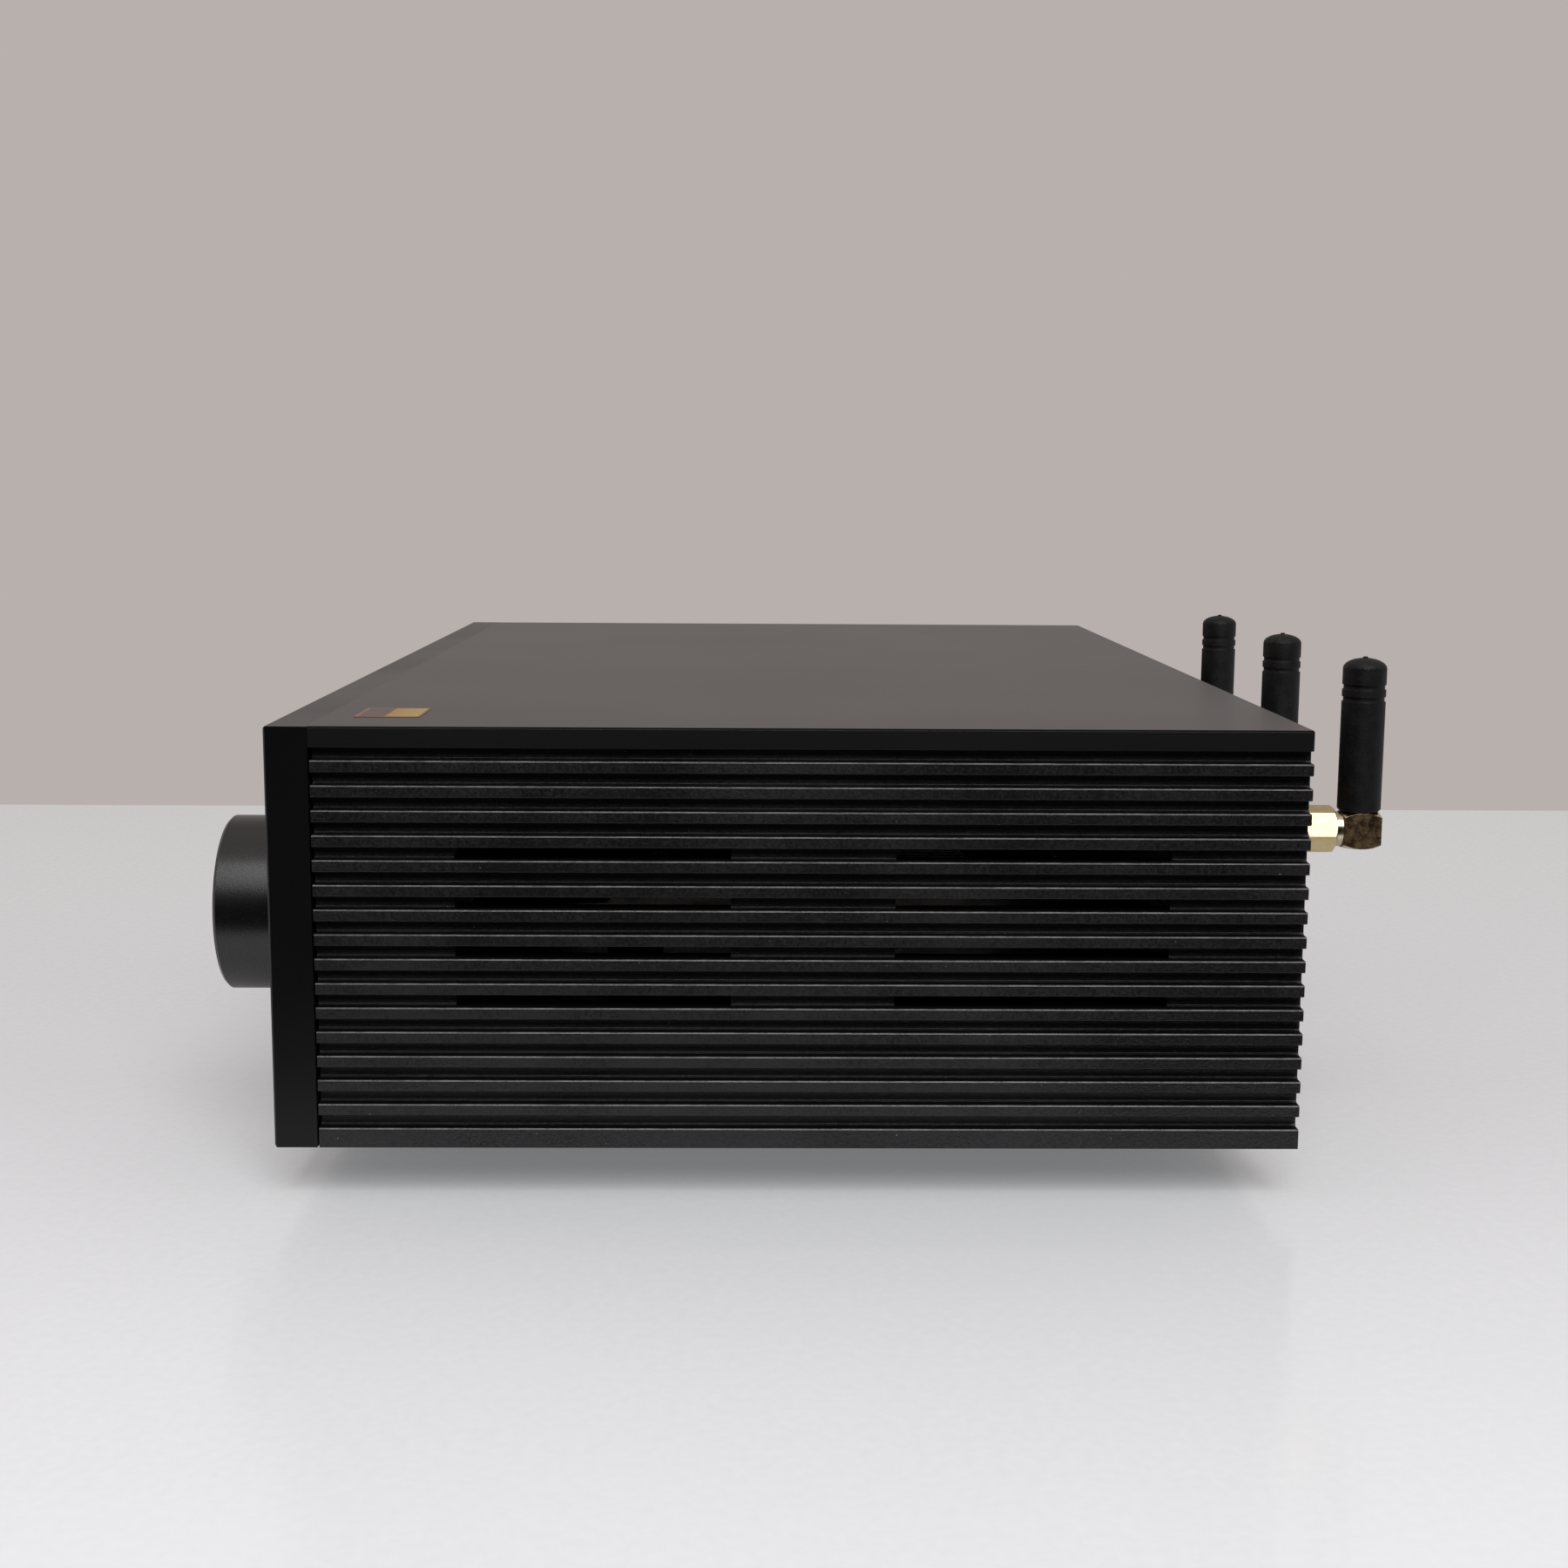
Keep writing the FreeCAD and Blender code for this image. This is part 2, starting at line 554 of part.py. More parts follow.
def block(name, at, size, turn=UPRIGHT):
    """A plain box from its low corner."""
    item = doc.addObject("Part::Box", name)
    item.Label = name
    bind(item, Length=size[0], Width=size[1], Height=size[2])
    return place(item, at, turn)


def rod(name, at, diameter, length, turn=UPRIGHT):
    """A plain cylinder from the middle of one end."""
    item = doc.addObject("Part::Cylinder", name)
    item.Label = name
    bind(item, Radius=f"({diameter}) / 2", Height=length)
    return place(item, at, turn)


def join(name, *pieces):
    """Fuse several solids to one."""
    item = doc.addObject("Part::MultiFuse", name)
    item.Label = name
    item.Shapes = list(pieces)
    return item


def subtract(name, base, *tools):
    """Cut tools from a solid."""
    item = doc.addObject("Part::Cut", name)
    item.Label = name
    item.Base = base
    item.Tool = tools[0] if len(tools) == 1 else join(name + "_tools", *tools)
    return item


def common(name, first, second):
    """Keep what two solids share."""
    item = doc.addObject("Part::Common", name)
    item.Label = name
    item.Base = first
    item.Tool = second
    return item


def gather(name, pieces):
    """Hold separate solids in one node."""
    item = doc.addObject("Part::Compound", name)
    item.Label = name
    item.Links = list(pieces)
    return keep(item)


def copies(master, places, turn=UPRIGHT):
    """Repeat one solid at several places."""
    links = []
    for at in places:
        link = doc.addObject("App::Link", master.Name + "_copy")
        link.LinkedObject = master
        links.append(place(link, at, turn))
    return links


def spread(name, master, places, turn=UPRIGHT):
    """Repeat one solid at several places, as one node of separate solids."""
    return gather(name, copies(master, places, turn))


def mirrored(name, source):
    """Mirror a piece to the other side of the case."""
    item = doc.addObject("Part::Mirroring", name)
    item.Label = name
    item.Source = source
    item.Normal = FreeCAD.Vector(1, 0, 0)
    return item


# ---- Stations shared by several pieces ----

BOARD_LOW = f"({BOTTOM_TOP} + standoff_height)"
BOARD_TOP = f"({BOARD_LOW} + board_thickness)"
BOARD_REAR = f"({PANEL_IN} - board_rear_gap)"
WINDOW_LOW = "((case_height - window_height) / 2)"
KNOB_X = f"({SIDE} - knob_inset)"
KNOB_Z = "(foot_height + knob_rise)"
ENCODER_FRONT = f"({PLATE_BACK} - encoder_pocket)"
ENCODER_BACK = f"({ENCODER_FRONT} + encoder_length)"
COLLAR_BACK = f"({ENCODER_FRONT} + chamber_wall + collar_gap + collar_thickness)"
STEM_TIP = f"({ENCODER_BACK} + stem_reach)"
SWITCH_FRONT = f"({STEM_TIP} + press_travel + press_spare)"
ANTENNA_Z = f"({TOP} - antenna_drop)"
ANTENNA_X = [f"({SIDE} - antenna_inset - {number} * antenna_spacing)" for number in range(3)]
WHIP_Y = f"({REAR} + whip_setback)"
INLET_X = f"(inlet_inset - {SIDE})"
SUPPLY_LEFT = f"(supply_board_inset - {SIDE})"
AUDIO_LEFT = f"({SUPPLY_LEFT} + supply_board_width + board_gap)"
MAIN_LEFT = f"({AUDIO_LEFT} + audio_board_width + board_gap)"
PHONO_X = f"({AUDIO_LEFT} + audio_board_width / 2)"
NETWORK_X = f"({MAIN_LEFT} + network_offset)"
USB_X = f"({MAIN_LEFT} + usb_offset)"
VIDEO_X = f"({MAIN_LEFT} + video_offset)"
CAGE_HALF = "(carrier_width / 2 + rail_gap + rail_thickness + cage_sheet)"
TRAY_X = f"({MAIN_LEFT} + main_board_width + cage_gap + {CAGE_HALF})"
TRAY_LOW = "(foot_height + tray_rise)"
TRAY_FACE = f"({PANEL_OUT} + tray_proud)"
TRAY_BACK = f"({TRAY_FACE} - tray_front_thickness)"
CARRIER_LOW = f"({TRAY_LOW} + carrier_rise)"
CARRIER_LENGTH = "(drive_front_gap + drive_length)"
DRIVE_LOW = f"({CARRIER_LOW} + carrier_floor + drive_lift)"
DRIVE_PLUG_END = f"({TRAY_BACK} - {CARRIER_LENGTH})"
DRIVE_HOLES = [
    (f"{side} * drive_hole_spacing / 2", f"drive_screw_setback + {step} * drive_screw_spacing")
    for side in (-1, 1)
    for step in (0, 1)
]
LEVER_X = f"({TRAY_X} + tray_front_width / 2 - lever_margin)"
LEVER_Y = f"({TRAY_FACE} - lever_thickness / 2)"
LEVER_Z = f"({TRAY_LOW} + tray_front_height / 2)"
FLANGE_HEAD = "(pad_thickness + head_gap + head_height)"

# Ribs run from the frame's back to the rear panel; their screws stand at three stations.
RIB_LENGTH = f"({PANEL_IN} - {FRAME_BACK})"
RIB_X = f"({INNER} - rib_size / 2)"
RIB_LOW = "(bottom_rise + bottom_thickness)"
RIB_HEIGHTS = (f"({RIB_LOW} + rib_size / 2)", f"({WALL_HEIGHT} - rib_size / 2)")
RIB_STATIONS = ("rib_screw_margin", f"{RIB_LENGTH} / 2", f"{RIB_LENGTH} - rib_screw_margin")
PLATE_SCREW_X = f"({INNER} - corner_screw_inset)"
PLATE_SCREW_HEIGHTS = (
    f"(({RIB_LOW} + {WINDOW_LOW}) / 2)",
    f"(({WINDOW_LOW} + window_height + {WALL_HEIGHT}) / 2)",
)
GROOVE_PITCH = f"(({WALL_HEIGHT} - band_height - groove_height) / (groove_count - 1))"


def both_sides(across):
    """A station on the right and its match on the left."""
    return (across, f"-({across})")


# ---- Case ----


def make_side_panels():
    """Finned extrusion with two screw ribs and rows of vent slots, and its mirror image."""
    panel = new_body("side_panel_right", (INNER, REAR, "foot_height"), TO_FRONT)
    outer = "(side_wall + groove_depth)"
    rib_start = "(panel_recess + panel_thickness)"
    add(panel, CHASSIS_LENGTH, [rectangle("0", "0", outer, WALL_HEIGHT)])
    ribs = [
        rectangle("-rib_size", f"{middle} - rib_size / 2", "rib_size", "rib_size") for middle in RIB_HEIGHTS
    ]
    add(panel, RIB_LENGTH, ribs, level=rib_start)
    ends = [disc("-rib_size / 2", middle, HOLE) for middle in RIB_HEIGHTS]
    depth = "rib_bite + hole_spare"
    cut(panel, depth, ends, level=rib_start)
    cut(panel, depth, ends, level=f"{rib_start} + {RIB_LENGTH}", forward=False)
    across = [
        disc("-rib_size / 2", f"{rib_start} + {RIB_LENGTH} - ({station})", HOLE) for station in RIB_STATIONS
    ]
    cut(panel, "rib_size", across, level=RIB_LOW, plane="XZ_Plane")
    cut(panel, "rib_size", across, level=f"{WALL_HEIGHT} - rib_size", plane="XZ_Plane")
    low = "band_height"
    high = "(band_height + groove_height)"
    groove = [
        (outer, f"{low} - fin_chamfer"),
        (f"{outer} - fin_chamfer", low),
        ("side_wall + groove_corner", low),
        ("side_wall", f"{low} + groove_corner"),
        ("side_wall", f"{high} - groove_corner"),
        ("side_wall + groove_corner", high),
        (f"{outer} - fin_chamfer", high),
        (outer, f"{high} + fin_chamfer"),
    ]
    grooves = cut(panel, None, [groove])
    repeat(panel, grooves, "Y_Axis", "groove_count", f"{GROOVE_PITCH} * (groove_count - 1)")
    slot_low = f"band_height + vent_lowest * {GROOVE_PITCH}"
    slots = [
        rectangle(
            slot_low,
            f"case_depth - vent_setback - vent_length - {number} * vent_spacing",
            "groove_height",
            "vent_length",
        )
        for number in (0, 1)
    ]
    vents = cut(panel, None, slots, level="side_wall + groove_corner", plane="YZ_Plane", forward=False)
    repeat(panel, vents, "Y_Axis", "vent_rows", f"(vent_rows - 1) * vent_step * {GROOVE_PITCH}")
    keep(panel)
    keep(mirrored("side_panel_left", panel))


def make_top_cover():
    """Thick top plate up to the front plate, held from below by screws in the upper ribs."""
    cover = new_body("top_cover", (f"-{SIDE}", f"{PLATE_BACK} + cover_gap", COVER_LOW))
    ahead = "(seam_gap - cover_gap)"
    add(cover, "cover_thickness", [rectangle("0", "0", "case_width", f"{CHASSIS_LENGTH} + {ahead}")])
    holes = [
        disc(f"{across} + {SIDE}", f"{ahead} + frame_thickness + {station}", HOLE)
        for across in both_sides(RIB_X)
        for station in RIB_STATIONS
    ]
    cut(cover, "cover_bite + hole_spare", holes)
    middle_depth = amount_of("case_depth") / 2
    dress(cover, "Fillet", "cover_corner", lambda at, along: abs(along.z) > 0.5 and at.y > middle_depth)
    top = amount_of("cover_thickness")
    dress(
        cover,
        "Chamfer",
        "cover_chamfer",
        lambda at, along: abs(at.z - top) < CLOSE and at.y > CLOSE,
    )
    keep(cover)


def make_bottom_plate():
    """Steel plate between the side panels, under their lower ribs."""
    plate = new_body("bottom_plate", (f"-{INNER}", CHASSIS_FRONT, BOTTOM_LOW))
    length = f"({CHASSIS_LENGTH} - panel_recess)"
    add(plate, "bottom_thickness", [rectangle("0", "0", f"2 * {INNER}", length)])
    holes = [
        disc(f"{across} + {INNER}", f"frame_thickness + {station}", HOLE)
        for across in both_sides(RIB_X)
        for station in RIB_STATIONS
    ]
    holes += [
        disc(f"{across} + {INNER}", f"{back} - {CHASSIS_FRONT}", HOLE) for across, back in foot_places()
    ]
    cut(plate, None, holes, level="bottom_thickness", forward=False)
    keep(plate)


def make_front_frame():
    """Steel sheet that closes the chassis behind the front plate and carries it."""
    frame = new_body("front_frame", (f"-{INNER}", FRAME_BACK, BOTTOM_TOP), TO_FRONT)
    add(frame, "frame_thickness", [rectangle("0", "0", f"2 * {INNER}", INNER_HEIGHT)])
    opening = "encoder_size + 2 * pocket_margin"
    windows = [
        rectangle(
            f"{INNER} - {SIDE} + window_inset + glass_ledge",
            f"{WINDOW_LOW} + glass_ledge - {RIB_LOW}",
            "window_width - 2 * glass_ledge",
            "window_height - 2 * glass_ledge",
        ),
        rectangle(
            f"{KNOB_X} + {INNER} - ({opening}) / 2",
            f"knob_rise - {RIB_LOW} - ({opening}) / 2",
            opening,
            opening,
        ),
    ]
    cut(frame, None, windows, level="frame_thickness", forward=False)
    places = [(across, up) for across in both_sides(RIB_X) for up in RIB_HEIGHTS]
    places += [(across, up) for across in both_sides(PLATE_SCREW_X) for up in PLATE_SCREW_HEIGHTS]
    holes = [disc(f"{across} + {INNER}", f"{up} - {RIB_LOW}", HOLE) for across, up in places]
    cut(frame, None, holes, level="frame_thickness", forward=False)
    keep(frame)


def make_front_plate():
    """Thick plate with a glazed window and a round recess for the knob."""
    plate = new_body("front_plate", (f"-{SIDE}", PLATE_BACK, "foot_height"), TO_FRONT)
    add(plate, "plate_thickness", [rectangle("0", "0", "case_width", "case_height")])
    window = rectangle("window_inset", WINDOW_LOW, "window_width", "window_height")
    cut(plate, "glass_thickness", [window], level="plate_thickness", forward=False)
    left = amount_of("window_inset")
    corners = (left, left + amount_of("window_width"))
    dress(
        plate,
        "Fillet",
        "window_corner",
        lambda at, along: abs(along.z) > 0.5 and min(abs(at.x - corner) for corner in corners) < CLOSE,
    )
    opening = rectangle(
        "window_inset + glass_ledge",
        f"{WINDOW_LOW} + glass_ledge",
        "window_width - 2 * glass_ledge",
        "window_height - 2 * glass_ledge",
    )
    cut(plate, None, [opening], level="plate_thickness", forward=False)
    knob_at = ("case_width - knob_inset", "knob_rise")
    recess = disc(*knob_at, "knob_diameter + 2 * recess_margin")
    cut(plate, "recess_depth", [recess], level="plate_thickness", forward=False)
    cut(plate, None, [disc(*knob_at, "bush_diameter + 2 * bush_fit")], level="plate_thickness", forward=False)
    pocket = "encoder_size + 2 * pocket_margin"
    square = rectangle(f"{knob_at[0]} - ({pocket}) / 2", f"{knob_at[1]} - ({pocket}) / 2", pocket, pocket)
    cut(plate, "encoder_pocket", [square])
    holes = [
        disc(f"{across} + {SIDE}", up, HOLE)
        for across in both_sides(PLATE_SCREW_X)
        for up in PLATE_SCREW_HEIGHTS
    ]
    cut(plate, "plate_bite + hole_spare", holes)
    heads = [
        disc(f"{across} + {SIDE}", up, "head_diameter + 2 * head_room")
        for across in both_sides(RIB_X)
        for up in RIB_HEIGHTS
    ]
    cut(plate, "head_height - seam_gap + head_gap", heads)
    face = amount_of("plate_thickness")
    width = amount_of("case_width")
    height = amount_of("case_height")

    def at_rim(at, along):
        """Whether an edge bounds the front face."""
        on_side = min(at.x, width - at.x) < CLOSE
        on_end = min(at.y, height - at.y) < CLOSE
        return abs(at.z - face) < CLOSE and (on_side or on_end)

    dress(plate, "Chamfer", "plate_chamfer", at_rim)
    keep(plate)


def make_rear_panel():
    """Sheet that closes the back, cut for the sockets, the antenna jacks and the drive tray."""
    panel = new_body("rear_panel", (INNER, PANEL_IN, BOTTOM_TOP), TO_REAR)
    add(panel, "panel_thickness", [rectangle("0", "0", f"2 * {INNER}", INNER_HEIGHT)])

    def opening(across, low, wide, high, gap="cutout_gap"):
        """A rectangle round a piece, from its middle across and its lower edge above the surface."""
        return rectangle(
            f"{INNER} - {across} - ({wide}) / 2 - {gap}",
            f"{low} - {BOTTOM_TOP} - {gap}",
            f"{wide} + 2 * {gap}",
            f"{high} + 2 * {gap}",
        )

    def hole(across, up, diameter):
        """A round hole at a place seen from the front."""
        return disc(f"{INNER} - ({across})", f"{up} - {BOTTOM_TOP}", diameter)

    inlet_low = "foot_height + inlet_rise - inlet_height / 2"
    rocker_low = f"foot_height + rocker_rise - {ROCKER_BODY[1]} / 2"
    openings = [
        opening(TRAY_X, TRAY_LOW, "tray_front_width", "tray_front_height", "tray_gap"),
        opening(INLET_X, inlet_low, "inlet_width", "inlet_height"),
        opening(INLET_X, rocker_low, *ROCKER_BODY),
        opening(NETWORK_X, BOARD_TOP, "network_width", "network_height"),
        opening(USB_X, BOARD_TOP, "usb_width", "usb_height"),
        opening(VIDEO_X, BOARD_TOP, "video_width", "video_height"),
    ]
    cut(panel, None, openings, level="panel_thickness", forward=False)
    holes = [hole(across, ANTENNA_Z, "jack_diameter + 2 * jack_fit") for across in ANTENNA_X]
    holes += [hole(across, up, "phono_diameter + 2 * cutout_gap") for across, up in phono_places()]
    holes += [hole(across, f"foot_height + {up}", HOLE) for across in both_sides(RIB_X) for up in RIB_HEIGHTS]
    cut(panel, None, holes, level="panel_thickness", forward=False)
    keep(panel)


def make_foil_label():
    """Plain foil patch near the front right corner of the top."""
    left = f"{SIDE} - label_inset - label_width"
    size = ("label_width", "label_depth", "label_thickness")
    keep(block("foil_label", (left, f"{FRONT} + label_setback", TOP), size))


# ---- Fasteners and feet ----


def screw(name, length):
    """Pan-head screw with a hexagon socket; its head points along +Z from the origin."""
    body = new_body(name, ("0", "0", "0"))
    turn_solid(
        body,
        [
            ("0", f"-({length})"),
            ("screw_diameter / 2", f"-({length})"),
            ("screw_diameter / 2", "0"),
            ("head_diameter / 2", "0"),
            ("head_diameter / 2", "head_height - head_chamfer"),
            ("head_diameter / 2 - head_chamfer", "head_height"),
            ("0", "head_height"),
        ],
    )
    cut(body, "hex_depth", [hexagon("hex_key")], level="head_height", forward=False)
    return body


def foot_places():
    """Axes of the four feet."""
    across = f"({SIDE} - foot_side_inset)"
    return [
        (side, back)
        for side in both_sides(across)
        for back in (f"({FRONT} + foot_front_inset)", f"({REAR} - foot_rear_inset)")
    ]


def make_feet():
    """Turned feet with a rubber pad below and one screw each, hidden by the pad."""
    foot = new_body("foot", ("0", "0", "0"))
    rim = "foot_diameter / 2"
    seat = "(pad_diameter / 2 + pad_fit)"
    well = "(head_diameter / 2 + head_room)"
    turn_solid(
        foot,
        [
            (f"{HOLE} / 2", BOTTOM_LOW),
            (rim, BOTTOM_LOW),
            (rim, "pad_proud + foot_chamfer"),
            (f"{rim} - foot_chamfer", "pad_proud"),
            (seat, "pad_proud"),
            (seat, "pad_thickness"),
            (well, "pad_thickness"),
            (well, FLANGE_HEAD),
            (f"{HOLE} / 2", FLANGE_HEAD),
        ],
    )
    pad = new_body("pad", ("0", "0", "0"))
    edge = "pad_diameter / 2"
    turn_solid(
        pad,
        [
            ("0", "0"),
            (f"{edge} - pad_proud / 2", "0"),
            (edge, "pad_proud / 2"),
            (edge, "pad_thickness"),
            ("0", "pad_thickness"),
        ],
    )
    places = [(across, back, "0") for across, back in foot_places()]
    spread("feet", foot, places)
    spread("foot_pads", pad, places)


def make_case_screws():
    """Screws of the rear panel, those seen from below, and those inside that hold the front and cover."""
    corners = [(across, up) for across in both_sides(RIB_X) for up in RIB_HEIGHTS]
    rear = screw("rear_screw", "panel_thickness + rib_bite")
    places = [(across, PANEL_OUT, f"foot_height + {up}") for across, up in corners]
    spread("rear_screws", rear, places, TO_REAR)
    along = [
        (across, f"{FRAME_BACK} + {station}") for across in both_sides(RIB_X) for station in RIB_STATIONS
    ]
    bottom = screw("bottom_screw", "bottom_thickness + rib_bite")
    foot = screw("foot_screw", f"{BOTTOM_TOP} - {FLANGE_HEAD}")
    under = copies(bottom, [(across, back, BOTTOM_LOW) for across, back in along], DOWNWARD)
    under += copies(foot, [(across, back, FLANGE_HEAD) for across, back in foot_places()], DOWNWARD)
    gather("bottom_screws", under)
    frame = screw("frame_screw", "frame_thickness + rib_bite")
    plate = screw("plate_screw", "frame_thickness + seam_gap + plate_bite")
    cover = screw("cover_screw", "rib_size + cover_bite")
    places = [(across, CHASSIS_FRONT, f"foot_height + {up}") for across, up in corners]
    inner = copies(frame, places, TO_FRONT)
    inner += copies(
        plate,
        [
            (across, FRAME_BACK, f"foot_height + {up}")
            for across in both_sides(PLATE_SCREW_X)
            for up in PLATE_SCREW_HEIGHTS
        ],
        TO_REAR,
    )
    inner += copies(cover, [(across, back, f"{COVER_LOW} - rib_size") for across, back in along], DOWNWARD)
    gather("inner_screws", inner)


# ---- Display ----


def make_display():
    """Glass flush with the front face, the display module behind it, and its ribbon to the main board."""
    low = f"foot_height + {WINDOW_LOW}"
    left = f"window_inset - {SIDE}"
    glass_at = (f"{left} + glass_gap", f"{FRONT} + glass_thickness", f"{low} + glass_gap")
    glass = new_body("display_glass", glass_at, TO_FRONT)
    size = ("window_width - 2 * glass_gap", "window_height - 2 * glass_gap")
    add(glass, "glass_thickness", [rectangle("0", "0", *size)])
    dress(glass, "Fillet", "window_corner - glass_gap", lambda at, along: abs(along.z) > 0.5)
    keep(glass)

    module = new_body("display_module", (left, f"{FRAME_BACK} + module_flange", low), TO_FRONT)
    add(module, "module_flange", [rectangle("0", "0", "window_width", "window_height")])
    inset = "glass_ledge + module_gap"
    core = rectangle(inset, inset, f"window_width - 2 * ({inset})", f"window_height - 2 * ({inset})")
    depth = "frame_thickness + seam_gap + plate_thickness - glass_thickness"
    add(module, depth, [core], level="module_flange")
    keep(module)

    start = f"({FRAME_BACK} + module_flange)"
    fold = f"({start} + 2 * board_gap)"
    end = f"({BOARD_REAR} - main_board_depth + board_hole_inset)"
    start_up = f"(foot_height + {WINDOW_LOW} + 2 * glass_ledge)"
    ribbon = new_body("display_ribbon", (f"{MAIN_LEFT} + (main_board_width - ribbon_width) / 2", "0", "0"))
    path = [
        (start, start_up),
        (fold, start_up),
        (fold, BOARD_TOP),
        (end, BOARD_TOP),
        (end, f"{BOARD_TOP} + ribbon_thickness"),
        (f"{fold} + ribbon_thickness", f"{BOARD_TOP} + ribbon_thickness"),
        (f"{fold} + ribbon_thickness", f"{start_up} + ribbon_thickness"),
        (start, f"{start_up} + ribbon_thickness"),
    ]
    add(ribbon, "ribbon_width", [path], plane="YZ_Plane")
    keep(ribbon)


# ---- Knob and encoder ----


def make_knob():
    """Turned knob, hollow behind to clear the encoder's nut, held on its shaft by a grub screw."""
    back = f"{FRONT} + recess_depth - knob_gap"
    length = "(knob_reach + recess_depth - knob_gap)"
    rim = "knob_diameter / 2"
    bore = "(shaft_diameter / 2 + shaft_fit)"
    knob = new_body("knob", (KNOB_X, back, KNOB_Z), TO_FRONT)
    turn_solid(
        knob,
        [
            ("knob_hollow / 2", "0"),
            (rim, "0"),
            (rim, f"{length} - knob_chamfer"),
            (f"{rim} - knob_chamfer", length),
            ("0", length),
            ("0", f"{length} - knob_face"),
            (bore, f"{length} - knob_face"),
            (bore, "hollow_depth"),
            ("knob_hollow / 2", "hollow_depth"),
        ],
    )
    grub_level = f"(({length} - knob_face + hollow_depth) / 2)"
    grub_hole = disc("0", grub_level, "grub_diameter + 2 * screw_fit")
    cut(knob, None, [grub_hole], plane="XZ_Plane", forward=False)
    keep(knob)
    grub_top = f"{KNOB_Z} - {bore}"
    grub_length = f"{rim} - {bore} - grub_recess"
    grub_at = (KNOB_X, f"{back} - {grub_level}", grub_top)
    grub = rod("grub", grub_at, "grub_diameter", grub_length, DOWNWARD)
    key = new_body("grub_key", (KNOB_X, f"{back} - {grub_level}", f"{grub_top} - ({grub_length})"))
    add(key, "hex_depth", [hexagon("hex_key")])
    keep(subtract("knob_grub_screw", grub, key))


def make_encoder():
    """Rotary encoder with a push: body and bush, nut, shaft, plunger, and the switch on its board."""
    body = new_body("encoder_body", (KNOB_X, ENCODER_BACK, KNOB_Z), TO_FRONT)
    half = "-encoder_size / 2"
    add(body, "encoder_length", [rectangle(half, half, "encoder_size", "encoder_size")])
    add(body, "bush_length", [disc("0", "0", "bush_diameter")], level="encoder_length")
    bore = [disc("0", "0", "shaft_diameter + 2 * shaft_fit")]
    cut(body, "bush_length + chamber_wall", bore, level="encoder_length + bush_length", forward=False)
    chamber = [disc("0", "0", "chamber_diameter")]
    cut(body, "encoder_length - 2 * chamber_wall", chamber, level="chamber_wall")
    cut(body, "chamber_wall", [disc("0", "0", "stem_diameter + 2 * stem_fit")])
    keep(body)

    nut = new_body("encoder_nut", (KNOB_X, f"{FRONT} + recess_depth", KNOB_Z), TO_FRONT)
    add(nut, "bush_nut_thickness", [hexagon("bush_nut_flats")])
    thread = disc("0", "0", "bush_diameter + 2 * bush_fit")
    cut(nut, None, [thread], level="bush_nut_thickness", forward=False)
    keep(nut)

    shaft = new_body("encoder_shaft", (KNOB_X, COLLAR_BACK, KNOB_Z), TO_FRONT)
    shaft_length = f"({COLLAR_BACK} - {FRONT} + knob_reach - knob_face)"
    turn_solid(
        shaft,
        [
            ("0", "0"),
            ("collar_diameter / 2", "0"),
            ("collar_diameter / 2", "collar_thickness"),
            ("shaft_diameter / 2", "collar_thickness"),
            ("shaft_diameter / 2", shaft_length),
            ("0", shaft_length),
        ],
    )
    keep(shaft)

    plunger = new_body("encoder_plunger", (KNOB_X, STEM_TIP, KNOB_Z), TO_FRONT)
    plunger_length = f"({STEM_TIP} - {COLLAR_BACK} - plunger_gap)"
    turn_solid(
        plunger,
        [
            ("0", "0"),
            ("stem_diameter / 2", "0"),
            ("stem_diameter / 2", f"{plunger_length} - collar_thickness"),
            ("collar_diameter / 2", f"{plunger_length} - collar_thickness"),
            ("collar_diameter / 2", plunger_length),
            ("0", plunger_length),
        ],
    )
    keep(plunger)

    switch_at = (f"{KNOB_X} - switch_size / 2", SWITCH_FRONT, f"{KNOB_Z} - switch_size / 2")
    switch = block("push_switch", switch_at, ("switch_size", "switch_height", "switch_size"))
    board_front = f"({SWITCH_FRONT} + switch_height)"
    half_board = "switch_board_size / 2"
    board_at = (f"{KNOB_X} - {half_board}", board_front, f"{KNOB_Z} - {half_board}")
    board = block("switch_base", board_at, ("switch_board_size", "board_thickness", "switch_board_size"))
    offset = f"({half_board} - pillar_diameter / 2)"
    pillars = [
        rod(
            "switch_pillar",
            (f"{KNOB_X} + {side} * {offset}", FRAME_BACK, f"{KNOB_Z} + {end} * {offset}"),
            "pillar_diameter",
            f"{board_front} - {FRAME_BACK}",
            TO_REAR,
        )
        for side in (-1, 1)
        for end in (-1, 1)
    ]
    gather("switch_board", [switch, board, *pillars])


# ---- Antennas ----


